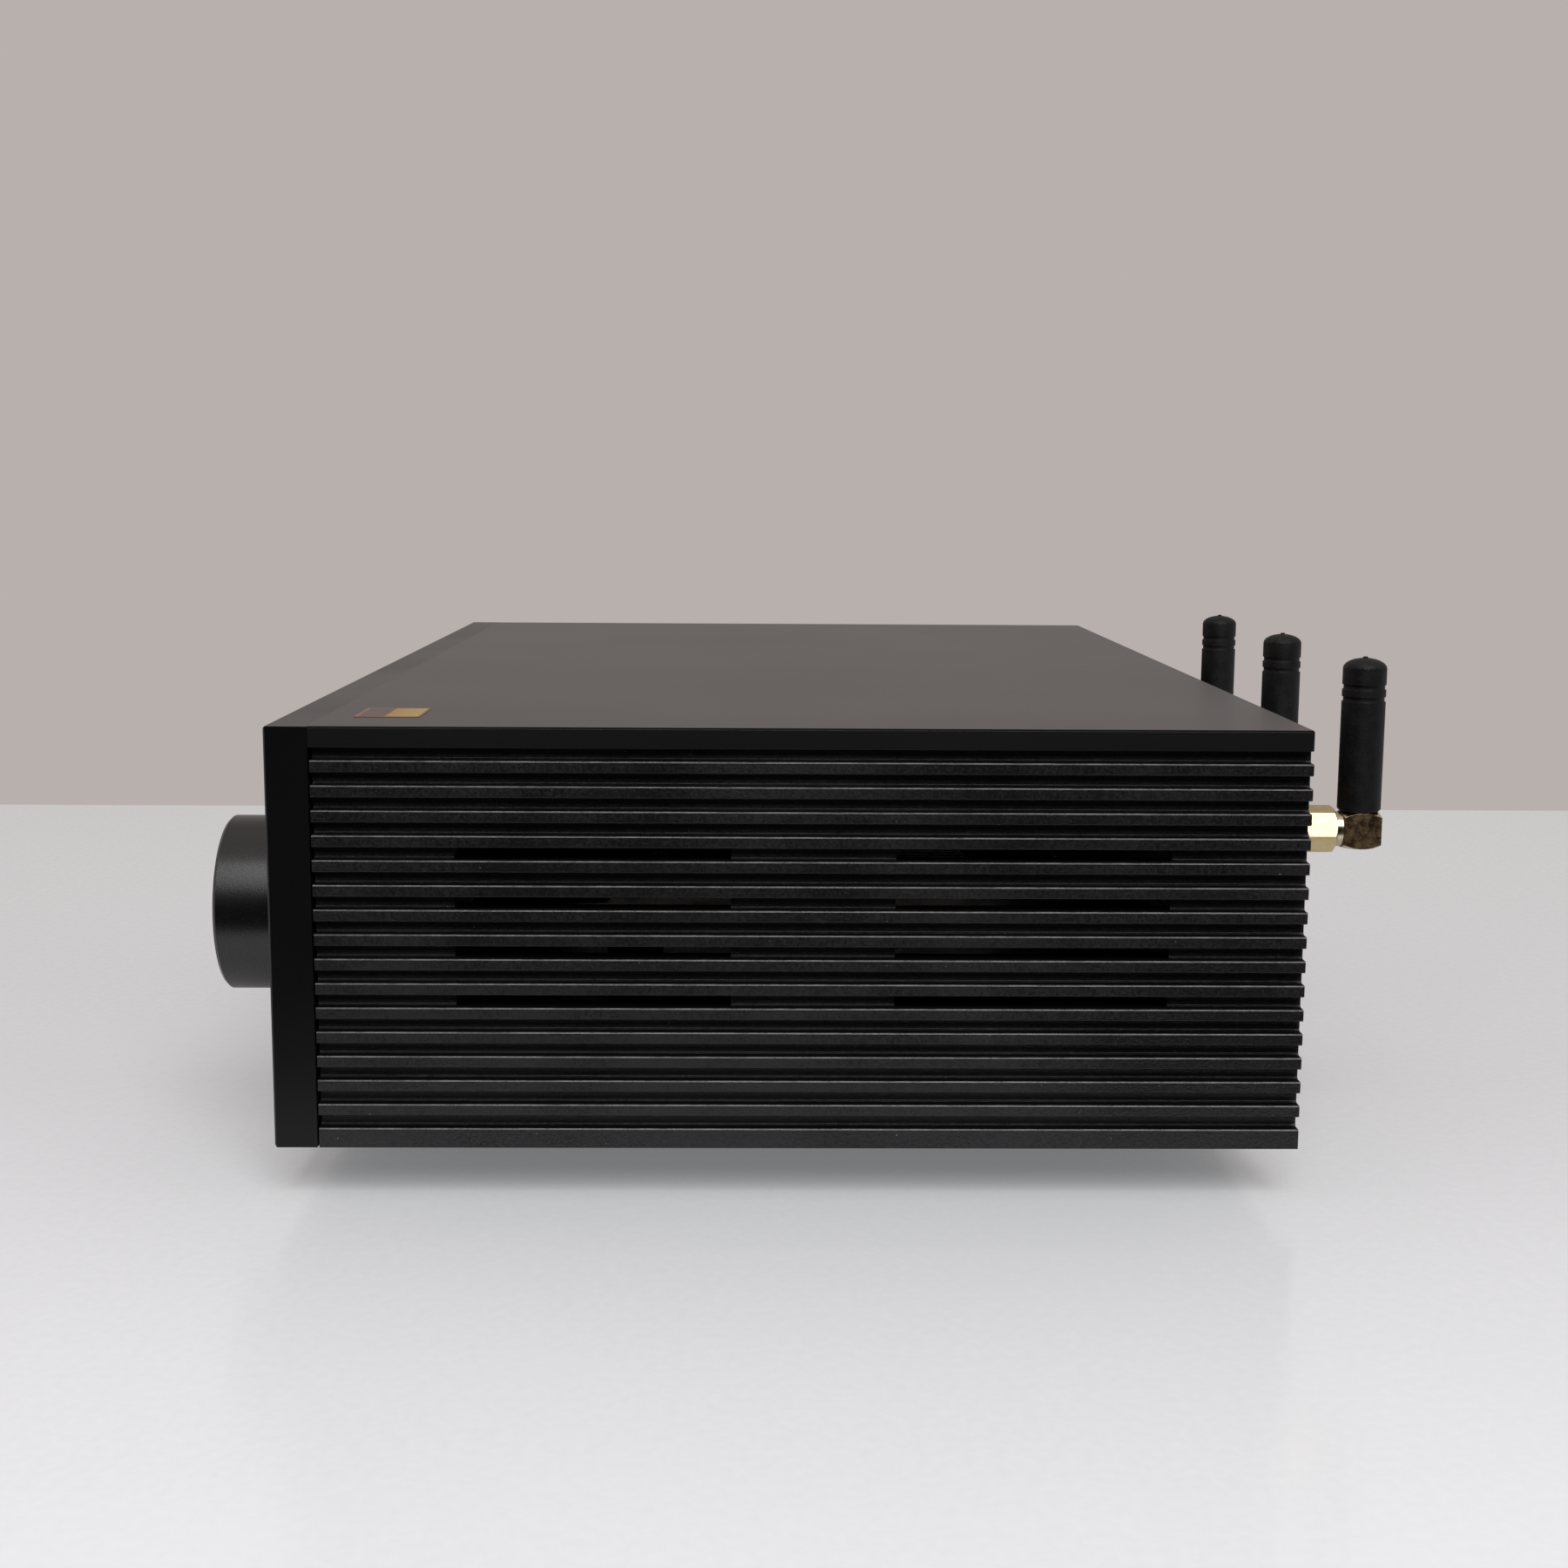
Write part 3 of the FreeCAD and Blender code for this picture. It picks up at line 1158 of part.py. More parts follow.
def make_antenna_jacks():
    """Threaded jacks through the rear panel, with their panel nuts and the antennas' coupling nuts."""
    inside = "(panel_thickness + jack_flange_thickness)"
    jack = new_body("jack", ("0", "0", "0"))
    turn_solid(
        jack,
        [
            ("0", f"-({inside} + jack_tail)"),
            ("jack_tail_diameter / 2", f"-({inside} + jack_tail)"),
            ("jack_tail_diameter / 2", f"-{inside}"),
            ("jack_flange / 2", f"-{inside}"),
            ("jack_flange / 2", "-panel_thickness"),
            ("jack_diameter / 2", "-panel_thickness"),
            ("jack_diameter / 2", "panel_recess + jack_reach"),
            ("0", "panel_recess + jack_reach"),
        ],
    )
    places = [(across, PANEL_OUT, ANTENNA_Z) for across in ANTENNA_X]
    spread("antenna_jacks", jack, places, TO_REAR)

    nut = new_body("panel_nut", ("0", "0", "0"))
    add(nut, "panel_nut_thickness", [hexagon("panel_nut_flats")])
    thread = "jack_diameter + 2 * jack_fit"
    cut(nut, None, [disc("0", "0", thread)], level="panel_nut_thickness", forward=False)
    spread("antenna_panel_nuts", nut, places, TO_REAR)

    hexagon_bar = new_body("coupling_bar", ("0", "0", "0"))
    add(hexagon_bar, "coupling_length", [hexagon("coupling_flats")])
    corner = "(coupling_flats / (2 * cos(30)) + corner_spare)"
    turning = new_body("coupling_turning", ("0", "0", "0"))
    turn_solid(
        turning,
        [
            (f"({thread}) / 2", "0"),
            ("coupling_flats / 2", "0"),
            (corner, "coupling_chamfer"),
            (corner, "coupling_length - coupling_chamfer"),
            ("coupling_flats / 2", "coupling_length"),
            ("neck_diameter / 2 + neck_fit", "coupling_length"),
            ("neck_diameter / 2 + neck_fit", "coupling_length - coupling_lip"),
            (f"({thread}) / 2", "coupling_length - coupling_lip"),
        ],
    )
    coupling = common("coupling", hexagon_bar, turning)
    twist = FreeCAD.Rotation(FreeCAD.Vector(0, 0, 1), 30 - amount_of("coupling_turn"))
    places = [(across, f"{REAR} + coupling_start", ANTENNA_Z) for across in ANTENNA_X]
    spread("antenna_coupling_nuts", coupling, places, TO_REAR.multiply(twist))


def make_elbow():
    """Square block turned at its ends, with a collar, a flanged neck and a core up into the whip."""
    half = "(elbow_height / 2)"
    corner = "(elbow_size / sqrt(2) + corner_spare)"
    bar = new_body("elbow_turning", ("0", "0", "0"))
    turn_solid(
        bar,
        [
            ("0", f"-{half}"),
            ("elbow_size / 2", f"-{half}"),
            (corner, f"elbow_turning - {half}"),
            (corner, f"{half} - elbow_turning"),
            ("elbow_size / 2", half),
            ("0", half),
        ],
    )
    square = block(
        "elbow_square",
        ("-elbow_size / 2", "-elbow_size / 2", f"-{half}"),
        ("elbow_size", "elbow_size", "elbow_height"),
    )
    neck_end = "(whip_setback - coupling_start - coupling_length + coupling_lip + neck_flange_gap)"
    neck = rod("elbow_neck", ("0", "0", "0"), "neck_diameter", neck_end, TO_FRONT)
    collar_end = "(whip_setback - coupling_start - coupling_length - neck_collar_gap)"
    collar = rod("elbow_collar", ("0", "0", "0"), "neck_collar", collar_end, TO_FRONT)
    flange_at = ("0", f"-{neck_end}", "0")
    flange = rod("elbow_flange", flange_at, "neck_flange", "neck_flange_thickness", TO_FRONT)
    core = rod("elbow_core", ("0", "0", "0"), "core_diameter", f"{half} + core_length")
    return join("elbow", common("elbow_block", bar, square), collar, neck, flange, core)


def make_whip():
    """Moulded rubber whip: plain body, two grooves, a head and a low dome with a moulding nub."""
    length = "(whip_rise + antenna_drop - elbow_height / 2 - whip_foot_gap)"
    rim = "(whip_diameter / 2)"
    waist = f"({rim} - whip_groove_depth)"
    bore = "(core_diameter / 2 + core_fit)"
    bore_end = "(core_length + hole_spare)"
    shoulder = f"({length} - nub_height - dome_height)"
    second = f"({shoulder} - whip_head - whip_groove)"
    first = f"({second} - whip_ring - whip_groove)"
    corners = [(bore, "0"), (f"{rim} - whip_round", "0"), (rim, "whip_round")]
    for start in (first, second):
        end = f"{start} + whip_groove"
        corners += [(rim, start), (waist, start), (waist, end), (rim, end)]
    corners.append((rim, shoulder))
    dome_angles = [90 * step / DOME_STEPS for step in range(1, DOME_STEPS)]
    corners += [
        (f"{rim} * cos({angle})", f"{shoulder} + dome_height * sin({angle})") for angle in dome_angles
    ]
    corners += [
        ("nub_diameter / 2", f"{length} - nub_height"),
        ("nub_diameter / 2", length),
        ("0", length),
        ("0", bore_end),
        (bore, bore_end),
    ]
    whip = new_body("whip", ("0", "0", "0"))
    turn_solid(whip, corners)
    return whip


def make_antennas():
    """Three antennas, each an elbow and a whip that swivel together on a coupling nut."""
    elbow = make_elbow()
    whip = make_whip()
    foot = f"{ANTENNA_Z} + elbow_height / 2 + whip_foot_gap"
    for side, across in zip(("right", "middle", "left"), ANTENNA_X):
        spread(f"antenna_elbow_{side}", elbow, [(across, WHIP_Y, ANTENNA_Z)])
        spread(f"antenna_whip_{side}", whip, [(across, WHIP_Y, foot)])


# ---- Mains inlet and power rocker ----

ROCKER_OPENING = ("(rocker_length + 2 * rocker_clearance)", "(rocker_height + 2 * rocker_clearance)")
ROCKER_BODY = tuple(f"({size} + 2 * rocker_wall)" for size in ROCKER_OPENING)
ROCKER_Z = "(foot_height + rocker_rise)"
ROCKER_PIN_Y = f"({PANEL_OUT} + flange_thickness - rocker_pin_depth)"


def centred(wide, high):
    """A rectangle round the origin."""
    return rectangle(f"-({wide}) / 2", f"-({high}) / 2", wide, high)


def cut_topped(wide, high, corner):
    """A rectangle round the origin with its two upper corners cut off."""
    side = f"({wide}) / 2"
    end = f"({high}) / 2"
    return [
        (f"-{side}", f"-{end}"),
        (side, f"-{end}"),
        (side, f"{end} - {corner}"),
        (f"{side} - {corner}", end),
        (f"{corner} - {side}", end),
        (f"-{side}", f"{end} - {corner}"),
    ]


def make_mains_inlet():
    """Snap-in mains inlet with a flange, and its three blades."""
    at = (INLET_X, PANEL_OUT, "foot_height + inlet_rise")
    inlet = new_body("mains_inlet", at, TO_REAR)
    wide, high = (f"{size} + 2 * flange_margin" for size in ("inlet_width", "inlet_height"))
    flange = cut_topped(wide, high, "flange_corner")
    add(inlet, "flange_thickness", [flange])
    add(inlet, "inlet_depth", [centred("inlet_width", "inlet_height")], forward=False)
    cavity = cut_topped("cavity_width", "cavity_height", "cavity_corner")
    cut(inlet, "cavity_depth", [cavity], level="flange_thickness", forward=False)
    keep(inlet)
    floor = f"{PANEL_OUT} + flange_thickness - cavity_depth"
    blade_middles = (
        ("-blade_spacing / 2", "-blade_offset"),
        ("0", "blade_offset"),
        ("blade_spacing / 2", "-blade_offset"),
    )
    blades = [
        block(
            "mains_blade",
            (f"{INLET_X} + {across} - blade_width / 2", floor, f"{at[2]} + {up} - blade_height / 2"),
            ("blade_width", "cavity_depth - blade_recess", "blade_height"),
        )
        for across, up in blade_middles
    ]
    gather("mains_blades", blades)


def make_power_rocker():
    """Rocker switch: a flanged frame, a pin across it and the rocker that tips on the pin."""
    frame = new_body("rocker_frame", (INLET_X, PANEL_OUT, ROCKER_Z), TO_REAR)
    flange = centred(*(f"{size} + 2 * flange_margin" for size in ROCKER_BODY))
    add(frame, "flange_thickness", [flange])
    add(frame, "rocker_body_depth", [centred(*ROCKER_BODY)], forward=False)
    depth = "flange_thickness + rocker_body_depth - rocker_wall"
    cut(frame, depth, [centred(*ROCKER_OPENING)], level="flange_thickness", forward=False)
    pin_hole = disc("0", "flange_thickness - rocker_pin_depth", "rocker_pin + 2 * rocker_pin_fit")
    pin_length = f"({ROCKER_BODY[1]})"
    cut(frame, pin_length, [pin_hole], level=f"-{pin_length} / 2", plane="XZ_Plane")
    keep(frame)
    pin_at = (INLET_X, ROCKER_PIN_Y, f"{ROCKER_Z} - {pin_length} / 2")
    keep(rod("rocker_pin", pin_at, "rocker_pin", pin_length))

    rocker = new_body("power_rocker", (INLET_X, ROCKER_PIN_Y, f"{ROCKER_Z} - rocker_height / 2"))
    rocker.Placement.Rotation = FreeCAD.Rotation(FreeCAD.Vector(0, 0, 1), amount_of("rocker_tilt"))
    end = "(rocker_length / 2)"
    keel = "(rocker_keel_width / 2)"
    profile = [
        (f"-{end}", "rocker_wing"),
        (f"-{end}", "rocker_wing - rocker_skirt"),
        (f"-{keel}", "-rocker_keel"),
        (keel, "-rocker_keel"),
        (end, "rocker_wing - rocker_skirt"),
        (end, "rocker_wing"),
        ("0", "rocker_valley"),
    ]
    add(rocker, "rocker_height", [profile])
    bore = [disc("0", "0", "rocker_pin + 2 * rocker_pin_fit")]
    cut(rocker, None, bore, level="rocker_height", forward=False)
    keep(rocker)


# ---- Phono jacks and data ports ----


def phono_places():
    """Axes of the four phono jacks, in a square."""
    middle = "foot_height + phono_rise"
    return [
        (f"({PHONO_X} + {side} * phono_spacing / 2)", f"({middle} + {end} * phono_spacing / 2)")
        for side in (-1, 1)
        for end in (-1, 1)
    ]


def make_phono_jacks():
    """Housing on the audio board, with four plated barrels through the panel and their insulators."""
    half = "(phono_spacing / 2 + phono_margin)"
    housing_at = (f"{PHONO_X} - {half}", f"{PANEL_IN} - phono_block", BOARD_TOP)
    height = f"foot_height + phono_rise + {half} - {BOARD_TOP}"
    keep(block("phono_housing", housing_at, (f"2 * {half}", "phono_block", height)))
    total = "(panel_thickness + phono_reach)"
    collar = "(panel_thickness + phono_flange_thickness)"
    barrel = new_body("phono_barrel", ("0", "0", "0"))
    turn_solid(
        barrel,
        [
            ("phono_bore / 2", "0"),
            ("phono_diameter / 2", "0"),
            ("phono_diameter / 2", "panel_thickness"),
            ("phono_flange / 2", "panel_thickness"),
            ("phono_flange / 2", collar),
            ("phono_diameter / 2", collar),
            ("phono_diameter / 2", total),
            ("phono_bore / 2", total),
        ],
    )
    core = new_body("phono_core", ("0", "0", "0"))
    edge = "(phono_bore / 2 - phono_fit)"
    mouth = f"({total} - phono_core_recess)"
    turn_solid(
        core,
        [
            ("0", "0"),
            (edge, "0"),
            (edge, mouth),
            ("phono_pin_bore / 2", mouth),
            ("phono_pin_bore / 2", "panel_thickness"),
            ("0", "panel_thickness"),
        ],
    )
    places = [(across, PANEL_IN, up) for across, up in phono_places()]
    spread("phono_barrels", barrel, places, TO_REAR)
    spread("phono_cores", core, places, TO_REAR)


def port_shell(name, across, prefix, mouths):
    """Shell that stands on the main board and reaches through the panel, cut for its mouths."""
    shell = new_body(name, (across, f"{PANEL_OUT} + port_proud", BOARD_TOP), TO_REAR)
    outline = rectangle(f"-{prefix}_width / 2", "0", f"{prefix}_width", f"{prefix}_height")
    add(shell, f"{prefix}_depth", [outline], forward=False)
    cut(shell, f"{prefix}_mouth_depth", mouths, forward=False)
    return keep(shell)


def tongue(name, across, prefix, up):
    """Contact tongue inside a port's mouth."""
    wide = f"({prefix}_mouth_width - 2 * tongue_inset)"
    at = (f"{across} - {wide} / 2", f"{PANEL_OUT} + port_proud - {prefix}_mouth_depth", up)
    return block(name, at, (wide, f"{prefix}_mouth_depth - tongue_recess", f"{prefix}_tongue"))


def make_ports():
    """Network, USB and video ports in a row on the main board's rear edge."""
    half = "(network_mouth_width / 2)"
    latch = "(latch_width / 2)"
    low = "network_mouth_rise"
    step = "(network_mouth_rise + latch_height)"
    high = "(network_mouth_rise + network_mouth_height)"
    network_mouth = [
        (f"-{half}", step),
        (f"-{latch}", step),
        (f"-{latch}", low),
        (latch, low),
        (latch, step),
        (half, step),
        (half, high),
        (f"-{half}", high),
    ]
    port_shell("network_port", NETWORK_X, "network", [network_mouth])
    usb_lows = [f"(usb_mouth_rise + {number} * usb_pitch)" for number in (0, 1)]
    usb_mouths = [
        rectangle("-usb_mouth_width / 2", usb_low, "usb_mouth_width", "usb_mouth_height")
        for usb_low in usb_lows
    ]
    port_shell("usb_ports", USB_X, "usb", usb_mouths)
    edge = "(video_mouth_width / 2)"
    floor = "video_mouth_rise"
    video_mouth = [
        (f"video_mouth_corner - {edge}", floor),
        (f"{edge} - video_mouth_corner", floor),
        (edge, f"{floor} + video_mouth_corner"),
        (edge, f"{floor} + video_mouth_height"),
        (f"-{edge}", f"{floor} + video_mouth_height"),
        (f"-{edge}", f"{floor} + video_mouth_corner"),
    ]
    port_shell("video_port", VIDEO_X, "video", [video_mouth])
    tongues = [
        tongue("usb_tongue", USB_X, "usb", f"{BOARD_TOP} + {usb_low} + usb_tongue_rise")
        for usb_low in usb_lows
    ]
    tongues.append(tongue("video_tongue", VIDEO_X, "video", f"{BOARD_TOP} + {floor} + video_tongue_rise"))
    gather("port_tongues", tongues)


# ---- Boards ----


def board_corners(left, front, wide, deep, rear_inset):
    """Screw places of a board."""
    return [
        (across, back)
        for across in (f"{left} + board_hole_inset", f"{left} + {wide} - board_hole_inset")
        for back in (f"{front} + board_hole_inset", f"{front} + {deep} - {rear_inset}")
    ]


def make_boards():
    """Main, audio and power supply boards on pillars, each held by four screws."""
    boards = (
        ("main", MAIN_LEFT, BOARD_REAR, "port_screw_setback"),
        ("audio", AUDIO_LEFT, BOARD_REAR, "port_screw_setback"),
        ("supply", SUPPLY_LEFT, f"({PANEL_IN} - supply_setback)", "board_hole_inset"),
    )
    places = []
    for name, left, rear, rear_inset in boards:
        size = (f"{name}_board_width", f"{name}_board_depth")
        front = f"({rear} - {size[1]})"
        board = new_body(f"{name}_board", (left, front, BOARD_LOW))
        add(board, "board_thickness", [rectangle("0", "0", *size)])
        holes = [disc(across, back, HOLE) for across, back in board_corners("0", "0", *size, rear_inset)]
        cut(board, None, holes, level="board_thickness", forward=False)
        keep(board)
        places += board_corners(left, front, *size, rear_inset)
    pillar = new_body("pillar", ("0", "0", "0"))
    add(pillar, "standoff_height", [disc("0", "0", "standoff_diameter")])
    cut(pillar, None, [disc("0", "0", HOLE)], level="standoff_height", forward=False)
    spread("board_pillars", pillar, [(across, back, BOTTOM_TOP) for across, back in places])
    board_screw = screw("board_screw", "board_screw_length")
    spread("board_screws", board_screw, [(across, back, BOARD_TOP) for across, back in places])


def make_board_parts():
    """The heat sink, and the other parts that stand on the boards: processor, capacitors, transformer."""
    middle = f"({MAIN_LEFT} + main_board_width / 2)"
    back = f"({BOARD_REAR} - processor_setback)"
    half = "processor_size / 2"
    chip_size = ("processor_size", "processor_size", "processor_height")
    parts = [block("processor", (f"{middle} - {half}", f"{back} - {half}", BOARD_TOP), chip_size)]
    sink_at = (f"{middle} - sink_size / 2", f"{back} - sink_size / 2", f"{BOARD_TOP} + processor_height")
    sink = new_body("heat_sink", sink_at)
    add(sink, "sink_height", [rectangle("0", "0", "sink_size", "sink_size")])
    gap = rectangle("sink_fin_pitch - sink_fin_gap", "0", "sink_fin_gap", "sink_size")
    gaps = cut(sink, "sink_height - sink_base", [gap], level="sink_height", forward=False)
    count = "(floor(sink_size / sink_fin_pitch) - 1)"
    repeat(sink, gaps, "X_Axis", count, f"({count} - 1) * sink_fin_pitch")
    keep(sink)

    supply_middle = f"({SUPPLY_LEFT} + supply_board_width / 2)"
    supply_rear = f"({PANEL_IN} - supply_setback)"
    first = f"({supply_rear} - 2 * board_hole_inset - capacitor_diameter / 2)"
    parts += [
        rod(
            "supply_capacitor",
            (supply_middle, f"{first} - {number} * capacitor_pitch", BOARD_TOP),
            "capacitor_diameter",
            "capacitor_height",
        )
        for number in range(2)
    ]
    transformer_at = (
        f"{supply_middle} - transformer_width / 2",
        f"{first} - 2 * capacitor_pitch - transformer_depth",
        BOARD_TOP,
    )
    size = ("transformer_width", "transformer_depth", "transformer_height")
    parts.append(block("transformer", transformer_at, size))
    audio_first = f"({BOARD_REAR} - phono_block - capacitor_pitch)"
    parts += [
        rod(
            "audio_capacitor",
            (
                f"{PHONO_X} + {side} * capacitor_pitch / 2",
                f"{audio_first} - {number} * capacitor_pitch",
                BOARD_TOP,
            ),
            "audio_capacitor_diameter",
            "audio_capacitor_height",
        )
        for side in (-1, 1)
        for number in range(3)
    ]
    gather("board_parts", parts)


# ---- Drive bay and tray ----


def make_drive_bay():
    """Folded cage on the bottom plate with two guide rails, and the backplane with the drive socket."""
    cage_rear = f"({TRAY_BACK} - tray_gap)"
    cage_length = f"({CARRIER_LENGTH} + backplane_gap + board_thickness + cage_margin)"
    high = f"({CARRIER_LOW} + carrier_height + cage_headroom + cage_sheet - {BOTTOM_TOP})"
    cage = new_body("drive_cage", (TRAY_X, cage_rear, BOTTOM_TOP), TO_FRONT)
    foot = f"({CAGE_HALF} - cage_flange)"
    inner = f"({CAGE_HALF} - cage_sheet)"
    profile = [
        (f"-{CAGE_HALF}", "0"),
        (f"-{foot}", "0"),
        (f"-{foot}", "cage_sheet"),
        (f"-{inner}", "cage_sheet"),
        (f"-{inner}", f"{high} - cage_sheet"),
        (inner, f"{high} - cage_sheet"),
        (inner, "cage_sheet"),
        (foot, "cage_sheet"),
        (foot, "0"),
        (CAGE_HALF, "0"),
        (CAGE_HALF, high),
        (f"-{CAGE_HALF}", high),
    ]
    add(cage, cage_length, [profile])
    keep(cage)

    rail_middle = f"({CARRIER_LOW} + carrier_height / 2)"
    channel = "(tongue_height / 2 + rail_gap)"
    edge = "(rail_height / 2)"
    rail_at = (f"{TRAY_X} + carrier_width / 2 + rail_gap", cage_rear, rail_middle)
    rail = new_body("guide_rail", rail_at, TO_FRONT)
    rail_profile = [
        ("0", f"-{edge}"),
        ("rail_thickness", f"-{edge}"),
        ("rail_thickness", edge),
        ("0", edge),
        ("0", channel),
        ("tongue_reach", channel),
        ("tongue_reach", f"-{channel}"),
        ("0", f"-{channel}"),
    ]
    add(rail, CARRIER_LENGTH, [rail_profile])
    other = mirrored("guide_rail_left", rail)
    other.setExpression("Base.x", formula(TRAY_X))
    gather("guide_rails", [rail, other])

    board_rear = f"({DRIVE_PLUG_END} - backplane_gap)"
    board_at = (f"{TRAY_X} - {inner}", f"{board_rear} - board_thickness", f"{BOTTOM_TOP} + cage_sheet")
    board = block("backplane_board", board_at, (f"2 * {inner}", "board_thickness", "backplane_height"))
    socket_low = f"{DRIVE_LOW} + plug_rise + (plug_height - socket_height) / 2"
    socket_size = ("socket_width", "backplane_gap + plug_depth - socket_gap", "socket_height")
    socket = block("drive_socket", (f"{TRAY_X} - socket_width / 2", board_rear, socket_low), socket_size)
    gather("drive_backplane", [board, socket])


def make_tray():
    """Tray that slides out to the rear: carrier with side tongues, front, hard drive and its screws."""
    carrier = new_body("tray_carrier", (TRAY_X, TRAY_BACK, CARRIER_LOW), TO_FRONT)
    side = "(carrier_width / 2)"
    inside = f"({side} - carrier_wall)"
    trough = [
        (f"-{side}", "0"),
        (side, "0"),
        (side, "carrier_height"),
        (inside, "carrier_height"),
        (inside, "carrier_floor"),
        (f"-{inside}", "carrier_floor"),
        (f"-{inside}", "carrier_height"),
        (f"-{side}", "carrier_height"),
    ]
    add(carrier, CARRIER_LENGTH, [trough])
    tongue_low = "(carrier_height - tongue_height) / 2"
    tongues = [
        rectangle(start, tongue_low, "tongue_reach", "tongue_height")
        for start in (f"-{side} - tongue_reach", side)
    ]
    add(carrier, CARRIER_LENGTH, tongues)
    holes = [disc(across, f"{CARRIER_LENGTH} - ({back})", HOLE) for across, back in DRIVE_HOLES]
    cut(carrier, "carrier_floor", holes, plane="XZ_Plane")
    keep(carrier)

    drive = new_body("hard_drive", (f"{TRAY_X} - drive_width / 2", DRIVE_PLUG_END, DRIVE_LOW))
    add(drive, "drive_height - drive_step", [rectangle("0", "0", "drive_width", "drive_length")])
    lid_size = (f"{size} - 2 * drive_step" for size in ("drive_width", "drive_length"))
    lid = rectangle("drive_step", "drive_step", *lid_size)
    add(drive, "drive_step", [lid], level="drive_height - drive_step")
    recess = rectangle("(drive_width - plug_width) / 2", "plug_rise", "plug_width", "plug_height")
    cut(drive, "plug_depth", [recess], plane="XZ_Plane")
    drive_holes = [disc(f"{across} + drive_width / 2", back, HOLE) for across, back in DRIVE_HOLES]
    cut(drive, "drive_bite + hole_spare", drive_holes)
    keep(drive)
    drive_screw = screw("drive_screw", "carrier_floor + drive_lift + drive_bite")
    places = [
        (f"{TRAY_X} + {across}", f"{DRIVE_PLUG_END} + {back}", CARRIER_LOW) for across, back in DRIVE_HOLES
    ]
    spread("drive_screws", drive_screw, places, DOWNWARD)


def make_tray_front():
    """Tray front with a pocket for the lever, a deeper finger notch, and the lever on its pin."""
    front = new_body("tray_front", (f"{TRAY_X} + tray_front_width / 2", TRAY_BACK, TRAY_LOW), TO_REAR)
    add(front, "tray_front_thickness", [rectangle("0", "0", "tray_front_width", "tray_front_height")])
    face = amount_of("tray_front_thickness")
    dress(front, "Chamfer", "tray_front_chamfer", lambda at, along: abs(at.z - face) < CLOSE)
    pocket_low = "(tray_front_height - lever_height) / 2 - lever_gap"
    pocket_high = "lever_height + 2 * lever_gap"
    behind = "(lever_thickness / 2 + lever_gap)"
    tip = "(lever_margin + lever_length)"
    pocket_length = f"lever_length + {behind} + lever_gap"
    pocket = rectangle(f"lever_margin - {behind}", pocket_low, pocket_length, pocket_high)
    cut(front, "lever_thickness + lever_gap", [pocket], level="tray_front_thickness", forward=False)
    notch = rectangle(f"{tip} - notch_under", pocket_low, "notch_under + notch_beyond", pocket_high)
    cut(front, "notch_depth", [notch], level="tray_front_thickness", forward=False)
    pin_length = "((tray_front_height + lever_height) / 2 + lever_gap + lever_pin_seat)"
    pin_bore = "lever_pin_diameter + 2 * lever_pin_fit"
    pin_hole = disc("lever_margin", "tray_front_thickness - lever_thickness / 2", pin_bore)
    cut(front, pin_length, [pin_hole], level="tray_front_height", plane="XZ_Plane", forward=False)
    keep(front)

    pin_low = f"{TRAY_LOW} + tray_front_height - {pin_length}"
    keep(rod("lever_pin", (LEVER_X, LEVER_Y, pin_low), "lever_pin_diameter", f"{pin_length} - hole_spare"))

    low = f"{LEVER_Z} - lever_height / 2"
    arm_at = (f"{LEVER_X} - lever_length", f"{LEVER_Y} - lever_thickness / 2", low)
    arm = block("lever_arm", arm_at, ("lever_length", "lever_thickness", "lever_height"))
    knuckle = rod("lever_knuckle", (LEVER_X, LEVER_Y, low), "lever_thickness", "lever_height")
    bore = rod("lever_bore", (LEVER_X, LEVER_Y, low), pin_bore, "lever_height")
    keep(subtract("tray_lever", join("lever_blank", arm, knuckle), bore))


# ---- Build, test and write ----


def check_model():
    """Stop if an object failed, a pocket cut nothing or a node's shape is empty or invalid."""
    for item in doc.Objects:
        if {"Invalid", "Error"} & set(item.State):
            raise RuntimeError(f"{item.Label} failed: {item.State}")
        if item.TypeId == "PartDesign::Pocket":
            before = item.BaseFeature.Shape.Volume
            if before - item.Shape.Volume < 1e-6:
                raise RuntimeError(f"{item.Label} cuts nothing")
    for item in nodes:
        if item.Shape.isNull() or not item.Shape.isValid():
            raise RuntimeError(f"{item.Label} has no valid shape")


def write_parts():
    """Write each node's shape to a file of its own name."""
    os.makedirs("parts", exist_ok=True)
    for item in nodes:
        item.Shape.exportStep(f"parts/{item.Label}.step")


make_side_panels()
make_top_cover()
make_bottom_plate()
make_front_frame()
make_front_plate()
make_rear_panel()
make_foil_label()
make_feet()
make_case_screws()
make_display()
make_knob()
make_encoder()
make_antenna_jacks()
make_antennas()
make_mains_inlet()
make_power_rocker()
make_phono_jacks()
make_ports()
make_boards()
make_board_parts()
make_drive_bay()
make_tray()
make_tray_front()
doc.recompute()
check_model()
write_parts()
print(f"{len(nodes)} nodes written")
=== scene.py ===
import json
import math

